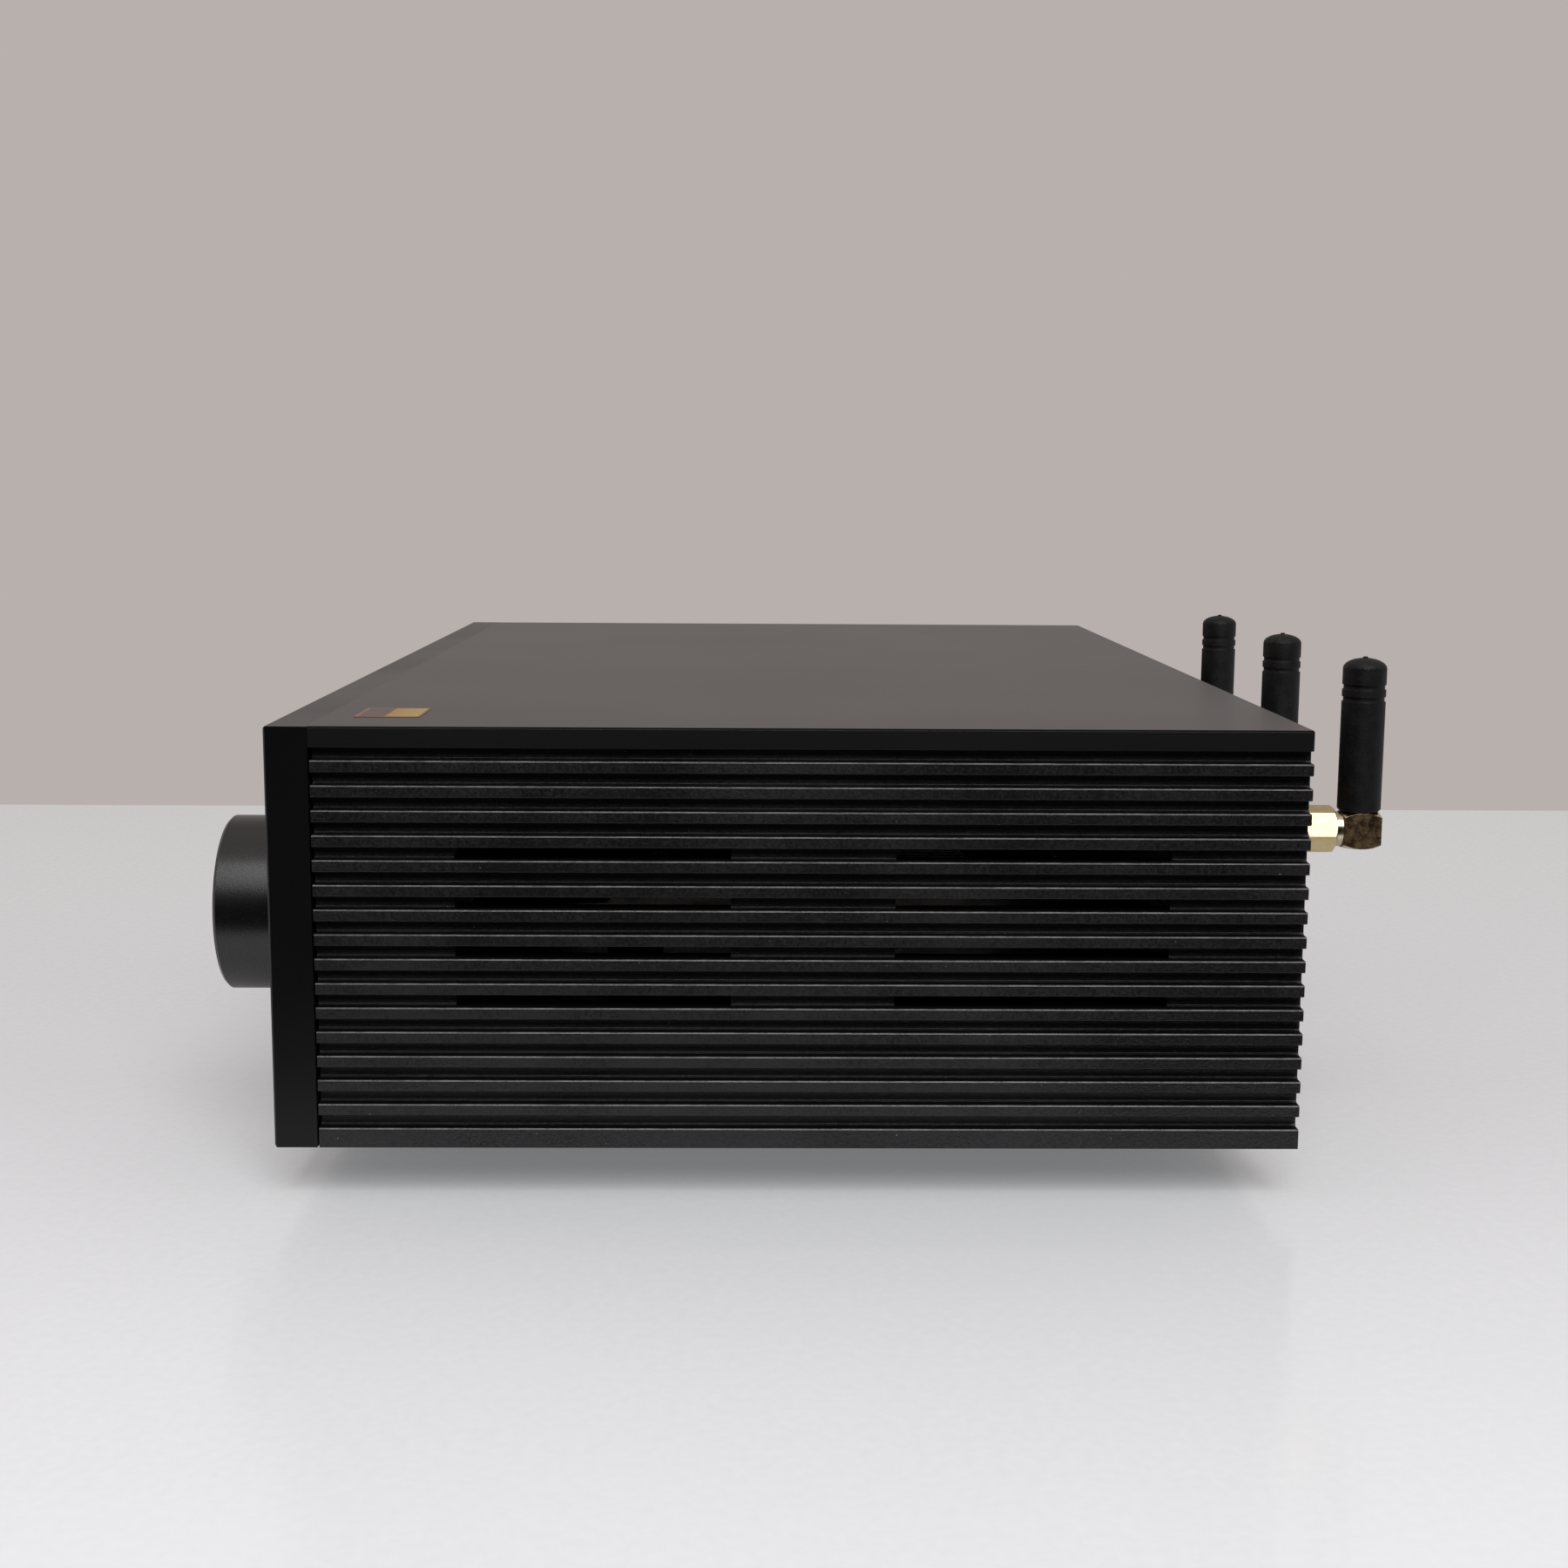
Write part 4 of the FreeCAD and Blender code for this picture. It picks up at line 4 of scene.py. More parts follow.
import bpy
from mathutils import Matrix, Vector

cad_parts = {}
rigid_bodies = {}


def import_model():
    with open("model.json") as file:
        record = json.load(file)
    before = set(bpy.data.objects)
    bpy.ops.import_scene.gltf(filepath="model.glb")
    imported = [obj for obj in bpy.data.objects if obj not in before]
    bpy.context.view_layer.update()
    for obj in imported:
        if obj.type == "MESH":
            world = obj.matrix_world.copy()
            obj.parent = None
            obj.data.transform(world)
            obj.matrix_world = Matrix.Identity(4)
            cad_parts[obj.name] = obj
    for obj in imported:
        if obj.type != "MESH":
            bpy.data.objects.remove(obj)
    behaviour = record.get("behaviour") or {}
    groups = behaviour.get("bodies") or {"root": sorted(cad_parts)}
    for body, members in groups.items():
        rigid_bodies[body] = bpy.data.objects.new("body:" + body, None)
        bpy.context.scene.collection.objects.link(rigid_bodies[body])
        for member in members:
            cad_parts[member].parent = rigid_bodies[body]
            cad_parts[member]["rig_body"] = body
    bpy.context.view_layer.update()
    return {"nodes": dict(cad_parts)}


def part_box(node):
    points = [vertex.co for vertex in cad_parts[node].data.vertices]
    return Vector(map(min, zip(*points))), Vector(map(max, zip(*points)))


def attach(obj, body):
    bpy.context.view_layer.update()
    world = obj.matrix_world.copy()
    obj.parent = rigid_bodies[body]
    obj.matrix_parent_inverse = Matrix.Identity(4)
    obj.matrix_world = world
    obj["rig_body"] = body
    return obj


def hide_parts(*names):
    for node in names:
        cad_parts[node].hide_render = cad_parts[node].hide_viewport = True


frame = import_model()

# ---- Side panels ------------------------------------------------------------
# Two extruded aluminium walls with sixteen grooves along each and four rows of
# vent slots milled through. They are bead blasted, then anodised black, and
# screwed to the frame, the rear panel, the bottom plate and the cover.
MM = 0.001
PER_METRE = 1000.0
# A finish's tones follow its drift plus a share of its grain, spread over the
# blend span, and the grain's depth is a share of its size. The dust's bend, its
# size and the merge distance are in millimetres, the two angles in degrees.
GRAIN_SHARE = 0.8
BLEND_SPAN = (0.74, 1.06)
GRAIN_DEPTH = 0.4
DUST_TONE = "#b9b4ac"
DUST_BEND = 0.3
DUST_BEND_SIZE = 0.5
SPECK_CORE = 0.4
MERGE_DISTANCE = 0.002
FLAT_ANGLE = 0.6
BREAK_ANGLE = 40.0
SQUARE_ON = 0.97
UPWARDS = 0.4


def linear(colour):
    """A hex colour as seen on screen, as the linear values that a shader takes."""
    parts = [int(colour[at:at + 2], 16) / 255 for at in (1, 3, 5)]
    return [v / 12.92 if v <= 0.04045 else ((v + 0.055) / 1.055) ** 2.4 for v in parts] + [1.0]


def node(tree, kind, settings=None, links=None):
    """Adds one node. A setting is a socket's value or a property; a link is (node, output)."""
    made = tree.nodes.new(kind)
    for name, value in (settings or {}).items():
        if isinstance(name, str) and name not in made.inputs:
            setattr(made, name, value)
    for name, value in (settings or {}).items():
        if isinstance(name, int) or name in made.inputs:
            made.inputs[name].default_value = value
    for name, (source, output) in (links or {}).items():
        tree.links.new(source.outputs[output], made.inputs[name])
    return made


def new_material(name):
    """An empty material with its shader, its output and its place on the piece."""
    made = bpy.data.materials.new(name)
    made.use_nodes = True
    tree = made.node_tree
    tree.nodes.clear()
    place = node(tree, "ShaderNodeTexCoord")
    shader = node(tree, "ShaderNodeBsdfPrincipled")
    node(tree, "ShaderNodeOutputMaterial", links={"Surface": (shader, "BSDF")})
    return made, tree, place, shader


def surface(name, tones, roughness, grain, bump, metallic=0.0, ior=None, cloud=30.0):
    """A finish that drifts between two tones and two roughness values, with a fine grain.
    The sizes of the grain and of the drift (cloud) are in millimetres."""
    made, tree, place, shader = new_material(name)
    shader.inputs["Metallic"].default_value = metallic
    if ior:
        shader.inputs["IOR"].default_value = ior
    drift = node(tree, "ShaderNodeTexNoise",
                 {"Scale": PER_METRE / cloud, "Detail": 3.0, "Roughness": 0.55},
                 {"Vector": (place, "Object")})
    fine = node(tree, "ShaderNodeTexNoise",
                {"Scale": PER_METRE / grain, "Detail": 2.0, "Roughness": 0.5},
                {"Vector": (place, "Object")})
    share = node(tree, "ShaderNodeMath", {"operation": "MULTIPLY_ADD", 1: GRAIN_SHARE},
                 {0: (fine, "Fac"), 2: (drift, "Fac")})
    blend = node(tree, "ShaderNodeMapRange", {"From Min": BLEND_SPAN[0], "From Max": BLEND_SPAN[1]},
                 {"Value": (share, 0)})
    tint = node(tree, "ShaderNodeMix",
                {"data_type": "RGBA", 6: linear(tones[0]), 7: linear(tones[1])},
                {0: (blend, "Result")})
    tree.links.new(tint.outputs[2], shader.inputs["Base Color"])
    gloss = node(tree, "ShaderNodeMapRange", {"To Min": roughness[0], "To Max": roughness[1]},
                 {"Value": (blend, "Result")})
    tree.links.new(gloss.outputs["Result"], shader.inputs["Roughness"])
    relief = node(tree, "ShaderNodeBump", {"Strength": bump, "Distance": grain * MM * GRAIN_DEPTH},
                  {"Height": (fine, "Fac")})
    tree.links.new(relief.outputs["Normal"], shader.inputs["Normal"])
    return made, tree, place, shader, tint, relief


def dusty(name, tones, roughness, grain, bump, cell=2.6, speck=0.085, **more):
    """A surface with specks of dust: distance (cell) and radius (speck) are in millimetres."""
    made, tree, place, shader, tint, relief = surface(name, tones, roughness, grain, bump, **more)
    bend = node(tree, "ShaderNodeTexNoise", {"Scale": PER_METRE / DUST_BEND_SIZE},
                {"Vector": (place, "Object")})
    warp = node(tree, "ShaderNodeVectorMath",
                {"operation": "MULTIPLY_ADD", 1: [DUST_BEND * MM] * 3},
                {0: (bend, "Color"), 2: (place, "Object")})
    spots = node(tree, "ShaderNodeTexVoronoi", {"Scale": PER_METRE / cell}, {"Vector": (warp, 0)})
    near = node(tree, "ShaderNodeMapRange",
                {"From Min": speck / cell, "From Max": SPECK_CORE * speck / cell},
                {"Value": (spots, "Distance")})
    fleck = node(tree, "ShaderNodeMix", {"data_type": "RGBA", 7: linear(DUST_TONE)},
                 {0: (near, "Result"), 6: (tint, 2)})
    tree.links.new(fleck.outputs[2], shader.inputs["Base Color"])
    return made, tree, place, shader, relief


def select_only(piece):
    """Selects one piece and makes it active, as an operator or a modifier needs."""
    bpy.ops.object.select_all(action="DESELECT")
    piece.select_set(True)
    bpy.context.view_layer.objects.active = piece


def smooth(piece, angle=32.0):
    """Rounds off the curved faces and keeps the large flat ones flat."""
    bpy.ops.object.shade_smooth_by_angle(angle=math.radians(angle))
    weighted = piece.modifiers.new("flat_faces_first", "WEIGHTED_NORMAL")
    weighted.mode = "FACE_AREA"
    weighted.weight = 100
    weighted.keep_sharp = True
    bpy.ops.object.modifier_apply(modifier=weighted.name)


def finish_edges(piece, width, segments):
    """Breaks every sharp edge by the width in millimetres, and smooths the rest."""
    select_only(piece)
    bevel = piece.modifiers.new("edges", "BEVEL")
    bevel.width = width * MM
    bevel.segments = segments
    bevel.limit_method = "ANGLE"
    bevel.angle_limit = math.radians(BREAK_ANGLE)
    bevel.use_clamp_overlap = True
    bpy.ops.object.modifier_apply(modifier=bevel.name)
    smooth(piece)


def from_node(node_name, piece_name, materials, edge, segments=2):
    """A piece made from a CAD node's own mesh: merged, its edges broken, in the node's place."""
    source = frame["nodes"][node_name]
    mesh = source.data.copy()
    piece = bpy.data.objects.new(piece_name, mesh)
    bpy.context.scene.collection.objects.link(piece)
    mesh.materials.clear()
    for each in materials:
        mesh.materials.append(each)
    select_only(piece)
    bpy.ops.object.mode_set(mode="EDIT")
    bpy.ops.mesh.select_all(action="SELECT")
    bpy.ops.mesh.remove_doubles(threshold=MERGE_DISTANCE * MM)
    bpy.ops.mesh.dissolve_limited(angle_limit=math.radians(FLAT_ANGLE))
    bpy.ops.object.mode_set(mode="OBJECT")
    finish_edges(piece, edge, segments)
    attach(piece, source["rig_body"])
    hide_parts(node_name)
    return piece


def upper_edges(piece, index):
    """Gives another material to the broken edges that look up: a painted highlight on the case, a
    painted shade on the cover.
    """
    for face in piece.data.polygons:
        if max(abs(value) for value in face.normal) < SQUARE_ON and face.normal.z > UPWARDS:
            face.material_index = index


# Blasting and anodising give a fine, even, satin black. The broken edges that look
# up are painted lighter, a painted highlight for the light they catch from above,
# and the tops of the fins inside the grooves are painted near black and dull, a
# painted shade. The grain is drawn coarser than it is, so that it shows.
case_black = dusty("anodised_blasted_black", ("#0d0d0e", "#252527"), (0.32, 0.43), 0.42, 0.50,
                   ior=1.6, cloud=45)[0]
painted_edge_highlight = dusty("anodised_black_painted_highlight_edge", ("#474645", "#7b7977"), (0.30, 0.38), 0.3, 0.2,
                  ior=1.6, cloud=4)[0]
FIN_FACE = 134.0
painted_shade_black = surface("anodised_painted_shade_black", ("#040404", "#080808"), (0.70, 0.80), 0.3, 0.3,
                       ior=1.25, cloud=20)[0]
for side in ("right", "left"):
    wall = from_node(f"side_panel_{side}", f"{side}_finned_wall",
                     (case_black, painted_edge_highlight, painted_shade_black), edge=0.05)
    # The broken edges that look up get the lighter edge black, a painted highlight.
    upper_edges(wall, 1)
    # Faces that look straight up, the fin tops in the grooves, get the painted shade black. Other
    # faces inward of the fin faces go back to plain black, so the painted highlight stays on the
    # outer edges.
    for face in wall.data.polygons:
        if face.normal.z > SQUARE_ON:
            face.material_index = 2
        elif abs(face.center.x) < FIN_FACE * MM:
            face.material_index = 0

# ---- Cover ------------------------------------------------------------------
# A flat aluminium plate, blasted and anodised with the walls, that lies on them
# and is screwed up from inside. Its top is wiped now and then, so it is cleaner
# and a little smoother than the walls.
cover_black = dusty("anodised_cover_black", ("#141313", "#171616"), (0.32, 0.34), 0.2, 0.10,
                    ior=1.6, cloud=70, cell=6.0, speck=0.07)[0]
# Its broken upper edges get the painted shade black: a painted shade that hides the highlight they
# would catch.
cover = from_node("top_cover", "cover_plate", (cover_black, painted_shade_black),
                  edge=0.05)
upper_edges(cover, 1)

# ---- Bottom plate, feet and pads --------------------------------------------
# The bottom is a blasted and anodised plate. The feet are turned from bar and
# anodised with it, and each holds a moulded rubber pad.
from_node("bottom_plate", "bottom_cover", (case_black,), edge=0.12)
from_node("feet", "turned_feet", (case_black, painted_edge_highlight), edge=0.08)
pad_rubber = surface("moulded_rubber_pad", ("#151514", "#1f1e1d"), (0.72, 0.86), 0.35, 0.5,
                     ior=1.5)[0]
from_node("foot_pads", "rubber_foot_pads", (pad_rubber,), edge=0.15)

# ---- Front frame and front plate --------------------------------------------
# A zinc plated steel frame carries the thick front plate, which is milled from
# aluminium, blasted finer than the walls and anodised with them.
zinc = surface("zinc_plated_steel", ("#a2a4a6", "#c4c5c3"), (0.30, 0.46), 0.9, 0.1, metallic=1.0,
               cloud=9)[0]
frame["nodes"]["front_frame"].material_slots[0].material = zinc
plate_black = dusty("anodised_plate_black", ("#070708", "#0a0a0b"), (0.31, 0.36), 0.16, 0.12,
                    ior=1.5, cloud=60, cell=6.5, speck=0.06)[0]
plate = from_node("front_plate", "milled_front_plate", (plate_black, painted_edge_highlight),
                  edge=0.08)
# Its broken edges that look up get the lighter edge black, a painted highlight.
upper_edges(plate, 1)

# ---- Display ----------------------------------------------------------------
# A sheet of smoked glass lies flush in the front plate. Behind it sits the dark
# display module, which a film ribbon joins to the main board.
SCREEN = (152.0, 46.0)
SCREEN_PITCH = 0.6
SMEAR_SIZE = 18.0
glass, tree, place, shader = new_material("smoked_glass")
shader.inputs["Base Color"].default_value = linear("#4a4b4e")
shader.inputs["Transmission Weight"].default_value = 1.0
shader.inputs["IOR"].default_value = 1.52
smear = node(tree, "ShaderNodeTexNoise", {"Scale": PER_METRE / SMEAR_SIZE, "Detail": 4.0},
             {"Vector": (place, "Object")})
wipe = node(tree, "ShaderNodeMapRange",
            {"From Min": 0.45, "From Max": 0.8, "To Min": 0.02, "To Max": 0.09},
            {"Value": (smear, "Fac")})
tree.links.new(wipe.outputs["Result"], shader.inputs["Roughness"])
from_node("display_glass", "display_window", (glass,), edge=0.15)
screen, tree, place, shader = new_material("dark_display_panel")
shader.inputs["IOR"].default_value = 1.5
shader.inputs["Roughness"].default_value = 0.25
low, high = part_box("display_module")
middle = (low + high) / 2
shift = node(tree, "ShaderNodeVectorMath", {"operation": "SUBTRACT", 1: middle},
             {0: (place, "Object")})
axes = node(tree, "ShaderNodeSeparateXYZ", links={0: (shift, 0)})
inside = []
for axis, size in ((0, SCREEN[0]), (2, SCREEN[1])):
    away = node(tree, "ShaderNodeMath", {"operation": "ABSOLUTE"}, {0: (axes, axis)})
    inside.append(node(tree, "ShaderNodeMath", {"operation": "LESS_THAN", 1: size / 2 * MM},
                       {0: (away, 0)}))
active = node(tree, "ShaderNodeMath", {"operation": "MULTIPLY"},
              {0: (inside[0], 0), 1: (inside[1], 0)})
dots = node(tree, "ShaderNodeTexVoronoi", {"Scale": PER_METRE / SCREEN_PITCH, "Randomness": 0.0},
            {"Vector": (place, "Object")})
pixel = node(tree, "ShaderNodeMix",
             {"data_type": "RGBA", 6: linear("#2b2d31"), 7: linear("#191a1d")},
             {0: (dots, "Distance")})
tint = node(tree, "ShaderNodeMix", {"data_type": "RGBA", 6: linear("#08080a")},
            {0: (active, 0), 7: (pixel, 2)})
tree.links.new(tint.outputs[2], shader.inputs["Base Color"])
frame["nodes"]["display_module"].material_slots[0].material = screen
film = surface("amber_film", ("#8a4f16", "#a8692a"), (0.28, 0.4), 0.8, 0.15, ior=1.6, cloud=12)[0]
frame["nodes"]["display_ribbon"].material_slots[0].material = film

# ---- Knob and rotary encoder ------------------------------------------------
# The knob is turned from bar, with fine rings from the lathe on its face, and
# anodised black. It is smoother than the walls, so its rim has a soft, even
# sheen. A grub screw holds it on the encoder's steel shaft.
KNOB_AXIS = (97.0, 46.9)
RING_PITCH = 0.28
RING_DEPTH = 0.03
RING_STRENGTH = 0.12
knob_black, tree, place, shader, grain = dusty("anodised_knob_black", ("#09090a", "#0e0e0f"),
                                               (0.27, 0.30), 0.22, 0.09, ior=1.72, cloud=30,
                                               cell=5.0, speck=0.06)
centred = node(tree, "ShaderNodeVectorMath",
               {"operation": "SUBTRACT", 1: (KNOB_AXIS[0] * MM, 0, KNOB_AXIS[1] * MM)},
               {0: (place, "Object")})
flat = node(tree, "ShaderNodeVectorMath", {"operation": "MULTIPLY", 1: (1, 0, 1)},
            {0: (centred, 0)})
radius = node(tree, "ShaderNodeVectorMath", {"operation": "LENGTH"}, {0: (flat, 0)})
turns = node(tree, "ShaderNodeMath",
             {"operation": "MULTIPLY", 1: 2 * math.pi / (RING_PITCH * MM)},
             {0: (radius, "Value")})
rings = node(tree, "ShaderNodeMath", {"operation": "SINE"}, {0: (turns, 0)})
lathe_marks = node(tree, "ShaderNodeBump",
                   {"Strength": RING_STRENGTH, "Distance": RING_DEPTH * MM},
                   {"Height": (rings, 0), "Normal": (grain, "Normal")})
tree.links.new(lathe_marks.outputs["Normal"], shader.inputs["Normal"])
from_node("knob", "turned_knob", (knob_black,), edge=0.06)
oxide = surface("black_oxide_steel", ("#1d1d1e", "#2c2b2b"), (0.34, 0.5), 0.3, 0.2, metallic=0.9,
                cloud=3)[0]
steel = surface("ground_steel", ("#b0b1b2", "#c8c8c6"), (0.22, 0.34), 0.5, 0.08, metallic=1.0,
                cloud=6)[0]
nylon = surface("grey_nylon", ("#57585a", "#646567"), (0.5, 0.6), 0.5, 0.25, ior=1.53, cloud=8)[0]
for name, material in (("knob_grub_screw", oxide), ("encoder_shaft", steel),
                       ("encoder_nut", zinc), ("encoder_body", nylon),
                       ("encoder_plunger", nylon)):
    frame["nodes"][name].material_slots[0].material = material

# ---- Foil label -------------------------------------------------------------
# A small printed foil near the front right corner: a thin orange line round two
# fields, one dark red brown and one gold, and no words.
FOIL_LINE = 0.5
FOIL_SPLIT = 0.46
CRINKLE_SIZE = 2.5
CRINKLE_DEPTH = 0.05
low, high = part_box("foil_label")
foil, tree, place, shader = new_material("printed_foil")
shader.inputs["Metallic"].default_value = 0.35
shader.inputs["Roughness"].default_value = 0.34
axes = node(tree, "ShaderNodeSeparateXYZ", links={0: (place, "Object")})
split = low.y + (high.y - low.y) * FOIL_SPLIT
gold_field = node(tree, "ShaderNodeMath", {"operation": "GREATER_THAN", 1: split},
                  {0: (axes, "Y")})
fade = node(tree, "ShaderNodeMapRange", {"From Min": split, "From Max": high.y},
            {"Value": (axes, "Y")})
gold_tone = node(tree, "ShaderNodeMix",
                 {"data_type": "RGBA", 6: linear("#c08c3e"), 7: linear("#c8b455")},
                 {0: (fade, "Result")})
fields = node(tree, "ShaderNodeMix", {"data_type": "RGBA", 6: linear("#5a4238")},
              {0: (gold_field, 0), 7: (gold_tone, 2)})
edges = []
for axis, start, end in (("X", low.x, high.x), ("Y", low.y, high.y)):
    shifted = node(tree, "ShaderNodeMath", {"operation": "SUBTRACT", 1: (start + end) / 2},
                   {0: (axes, axis)})
    away = node(tree, "ShaderNodeMath", {"operation": "ABSOLUTE"}, {0: (shifted, 0)})
    edges.append(node(tree, "ShaderNodeMath",
                      {"operation": "GREATER_THAN", 1: (end - start) / 2 - FOIL_LINE * MM},
                      {0: (away, 0)}))
line = node(tree, "ShaderNodeMath", {"operation": "MAXIMUM"},
            {0: (edges[0], 0), 1: (edges[1], 0)})
print_tone = node(tree, "ShaderNodeMix", {"data_type": "RGBA", 7: linear("#a9744c")},
                  {0: (line, 0), 6: (fields, 2)})
tree.links.new(print_tone.outputs[2], shader.inputs["Base Color"])
crinkle = node(tree, "ShaderNodeTexNoise", {"Scale": PER_METRE / CRINKLE_SIZE, "Detail": 2.0},
               {"Vector": (place, "Object")})
relief = node(tree, "ShaderNodeBump", {"Strength": 0.2, "Distance": CRINKLE_DEPTH * MM},
              {"Height": (crinkle, "Fac")})
tree.links.new(relief.outputs["Normal"], shader.inputs["Normal"])
from_node("foil_label", "corner_foil", (foil,), edge=0.03)

# ---- Rear panel and case screws ---------------------------------------------
# The rear panel is blasted and anodised with the walls. Black oxide steel screws
# with hexagon sockets hold it, the bottom, the feet and the frame.
from_node("rear_panel", "rear_wall", (case_black,), edge=0.1)
for name in ("rear_screws", "bottom_screws", "inner_screws"):
    frame["nodes"][name].material_slots[0].material = oxide

# ---- Antenna jacks ----------------------------------------------------------
# Gold plated brass barrels with a fine thread, each held to the rear panel by a
# hexagon nut. The thread is turned as plain rings at its real pitch.
gold = surface("gold_plated_brass", ("#e2c07a", "#f0d596"), (0.12, 0.24), 0.7, 0.05, metallic=1.0,
               cloud=6)[0]
from_node("antenna_panel_nuts", "jack_panel_nuts", (gold,), edge=0.15)
JACK_X = (101.0, 38.2, -24.6)
JACK_HEIGHT = 62.7
JACK_ENDS = (78.1, 98.8)
JACK_FLANGE = (84.1, 85.6)
JACK_RADII = (2.0, 4.5, 3.1)
PIN_HOLE = (0.7, 4.0)
THREAD_PITCH = 0.706
THREAD_DEPTH = 0.32
FIRST_CREST = 88.2
ROOT_FLAT = 0.12
CREST_FLAT = 0.04
PLAIN_END = 0.3
END_CHAMFER = 0.25
THREAD_SMOOTHING = 25.0
tail, flange, crest = JACK_RADII
inner_end, outer_end = JACK_ENDS
flange_back, flange_front = JACK_FLANGE
hole, hole_depth = PIN_HOLE
root = crest - THREAD_DEPTH
outline = [(0.0, inner_end), (tail, inner_end), (tail, flange_back), (flange, flange_back),
           (flange, flange_front), (crest, flange_front), (crest, FIRST_CREST)]
along = FIRST_CREST
while along + THREAD_PITCH < outer_end - PLAIN_END:
    outline += [(root, along + THREAD_PITCH / 2 - ROOT_FLAT / 2),
                (root, along + THREAD_PITCH / 2 + ROOT_FLAT / 2),
                (crest, along + THREAD_PITCH - CREST_FLAT), (crest, along + THREAD_PITCH)]
    along += THREAD_PITCH
outline += [(crest, outer_end - END_CHAMFER), (crest - END_CHAMFER, outer_end),
            (hole, outer_end), (hole, outer_end - hole_depth), (0.0, outer_end - hole_depth)]
mesh = bpy.data.meshes.new("jack_outline")
mesh.from_pydata([(x * MM, y * MM, 0.0) for x, y in outline],
                 [(at, at + 1) for at in range(len(outline) - 1)], [])
mesh.materials.append(gold)
jack = bpy.data.objects.new("threaded_jacks", mesh)
bpy.context.scene.collection.objects.link(jack)
select_only(jack)
spin = jack.modifiers.new("turning", "SCREW")
spin.axis = "Y"
spin.angle = math.radians(360)
spin.steps = 40
spin.render_steps = 40
spin.use_merge_vertices = True
spin.merge_threshold = MERGE_DISTANCE * MM
bpy.ops.object.modifier_apply(modifier=spin.name)
row = jack.modifiers.new("three_jacks", "ARRAY")
row.count = len(JACK_X)
row.use_relative_offset = False
row.use_constant_offset = True
row.constant_offset_displace = ((JACK_X[1] - JACK_X[0]) * MM, 0, 0)
bpy.ops.object.modifier_apply(modifier=row.name)
bpy.ops.transform.translate(value=(JACK_X[0] * MM, 0, JACK_HEIGHT * MM))
bpy.ops.object.transform_apply(location=True)
bpy.ops.object.mode_set(mode="EDIT")
bpy.ops.mesh.select_all(action="SELECT")
bpy.ops.mesh.normals_make_consistent(inside=False)
bpy.ops.object.mode_set(mode="OBJECT")
smooth(jack, THREAD_SMOOTHING)
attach(jack, frame["nodes"]["antenna_jacks"]["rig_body"])
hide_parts("antenna_jacks")

# ---- Antennas ---------------------------------------------------------------
# Each antenna has a gold plated hexagon coupling nut, a square brass elbow whose
# plating has dulled, a polished neck between them and a moulded rubber whip.
nut_gold = surface("polished_gold_plate", ("#dcc591", "#e6d3a4"), (0.20, 0.26), 1.2, 0.03,
                   metallic=1.0, cloud=5)[0]
from_node("antenna_coupling_nuts", "coupling_nuts", (nut_gold,), edge=0.12)
dull_gold = surface("dulled_gold_plate", ("#7d6648", "#b09672"), (0.30, 0.44), 0.22, 0.22,
                    metallic=1.0, cloud=1.8)[0]
neck_plate = surface("polished_neck_plate", ("#cfc2a4", "#e2d8c0"), (0.16, 0.24), 0.8, 0.03,
                     metallic=1.0, cloud=4)[0]
whip_rubber = dusty("moulded_rubber_whip", ("#070708", "#131313"), (0.50, 0.62), 0.3, 0.6,
                    ior=1.4, cloud=2.5, cell=1.9, speck=0.05)[0]
NECK_END = 103.0
NECK_SLOPES = (0.3, 0.95)
for place_name in ("right", "middle", "left"):
    elbow = from_node(f"antenna_elbow_{place_name}", f"{place_name}_elbow",
                      (dull_gold, neck_plate), edge=0.12)
    for face in elbow.data.polygons:
        turned = NECK_SLOPES[0] < abs(face.normal.z) < NECK_SLOPES[1]
        if face.center.y < NECK_END * MM or turned:
            face.material_index = 1
    from_node(f"antenna_whip_{place_name}", f"{place_name}_whip", (whip_rubber,),
              edge=0.1)

# ---- Mains inlet and power rocker -------------------------------------------
# The inlet and the rocker's frame are moulded in black plastic and snap into the
# rear panel. The blades are nickel plated brass, and the rocker is glossy.
moulded = surface("moulded_black_plastic", ("#19191a", "#222223"), (0.42, 0.54), 0.5, 0.2,
                  ior=1.53, cloud=15)[0]
glossy = surface("glossy_black_plastic", ("#141415", "#1a1a1b"), (0.16, 0.24), 1.5, 0.05,
                 ior=1.53, cloud=10)[0]
nickel = surface("nickel_plate", ("#bdb9b0", "#d0ccc4"), (0.16, 0.3), 0.7, 0.06, metallic=1.0,
                 cloud=5)[0]
from_node("mains_inlet", "mains_socket", (moulded,), edge=0.3)
from_node("mains_blades", "mains_pins", (nickel,), edge=0.3, segments=3)
from_node("rocker_frame", "rocker_bezel", (moulded,), edge=0.25)
from_node("power_rocker", "rocker_button", (glossy,), edge=0.2)
print_white = surface("white_pad_print", ("#cfcfca", "#dcdcd8"), (0.45, 0.55), 0.3, 0.1,
                      ior=1.5, cloud=3)[0]
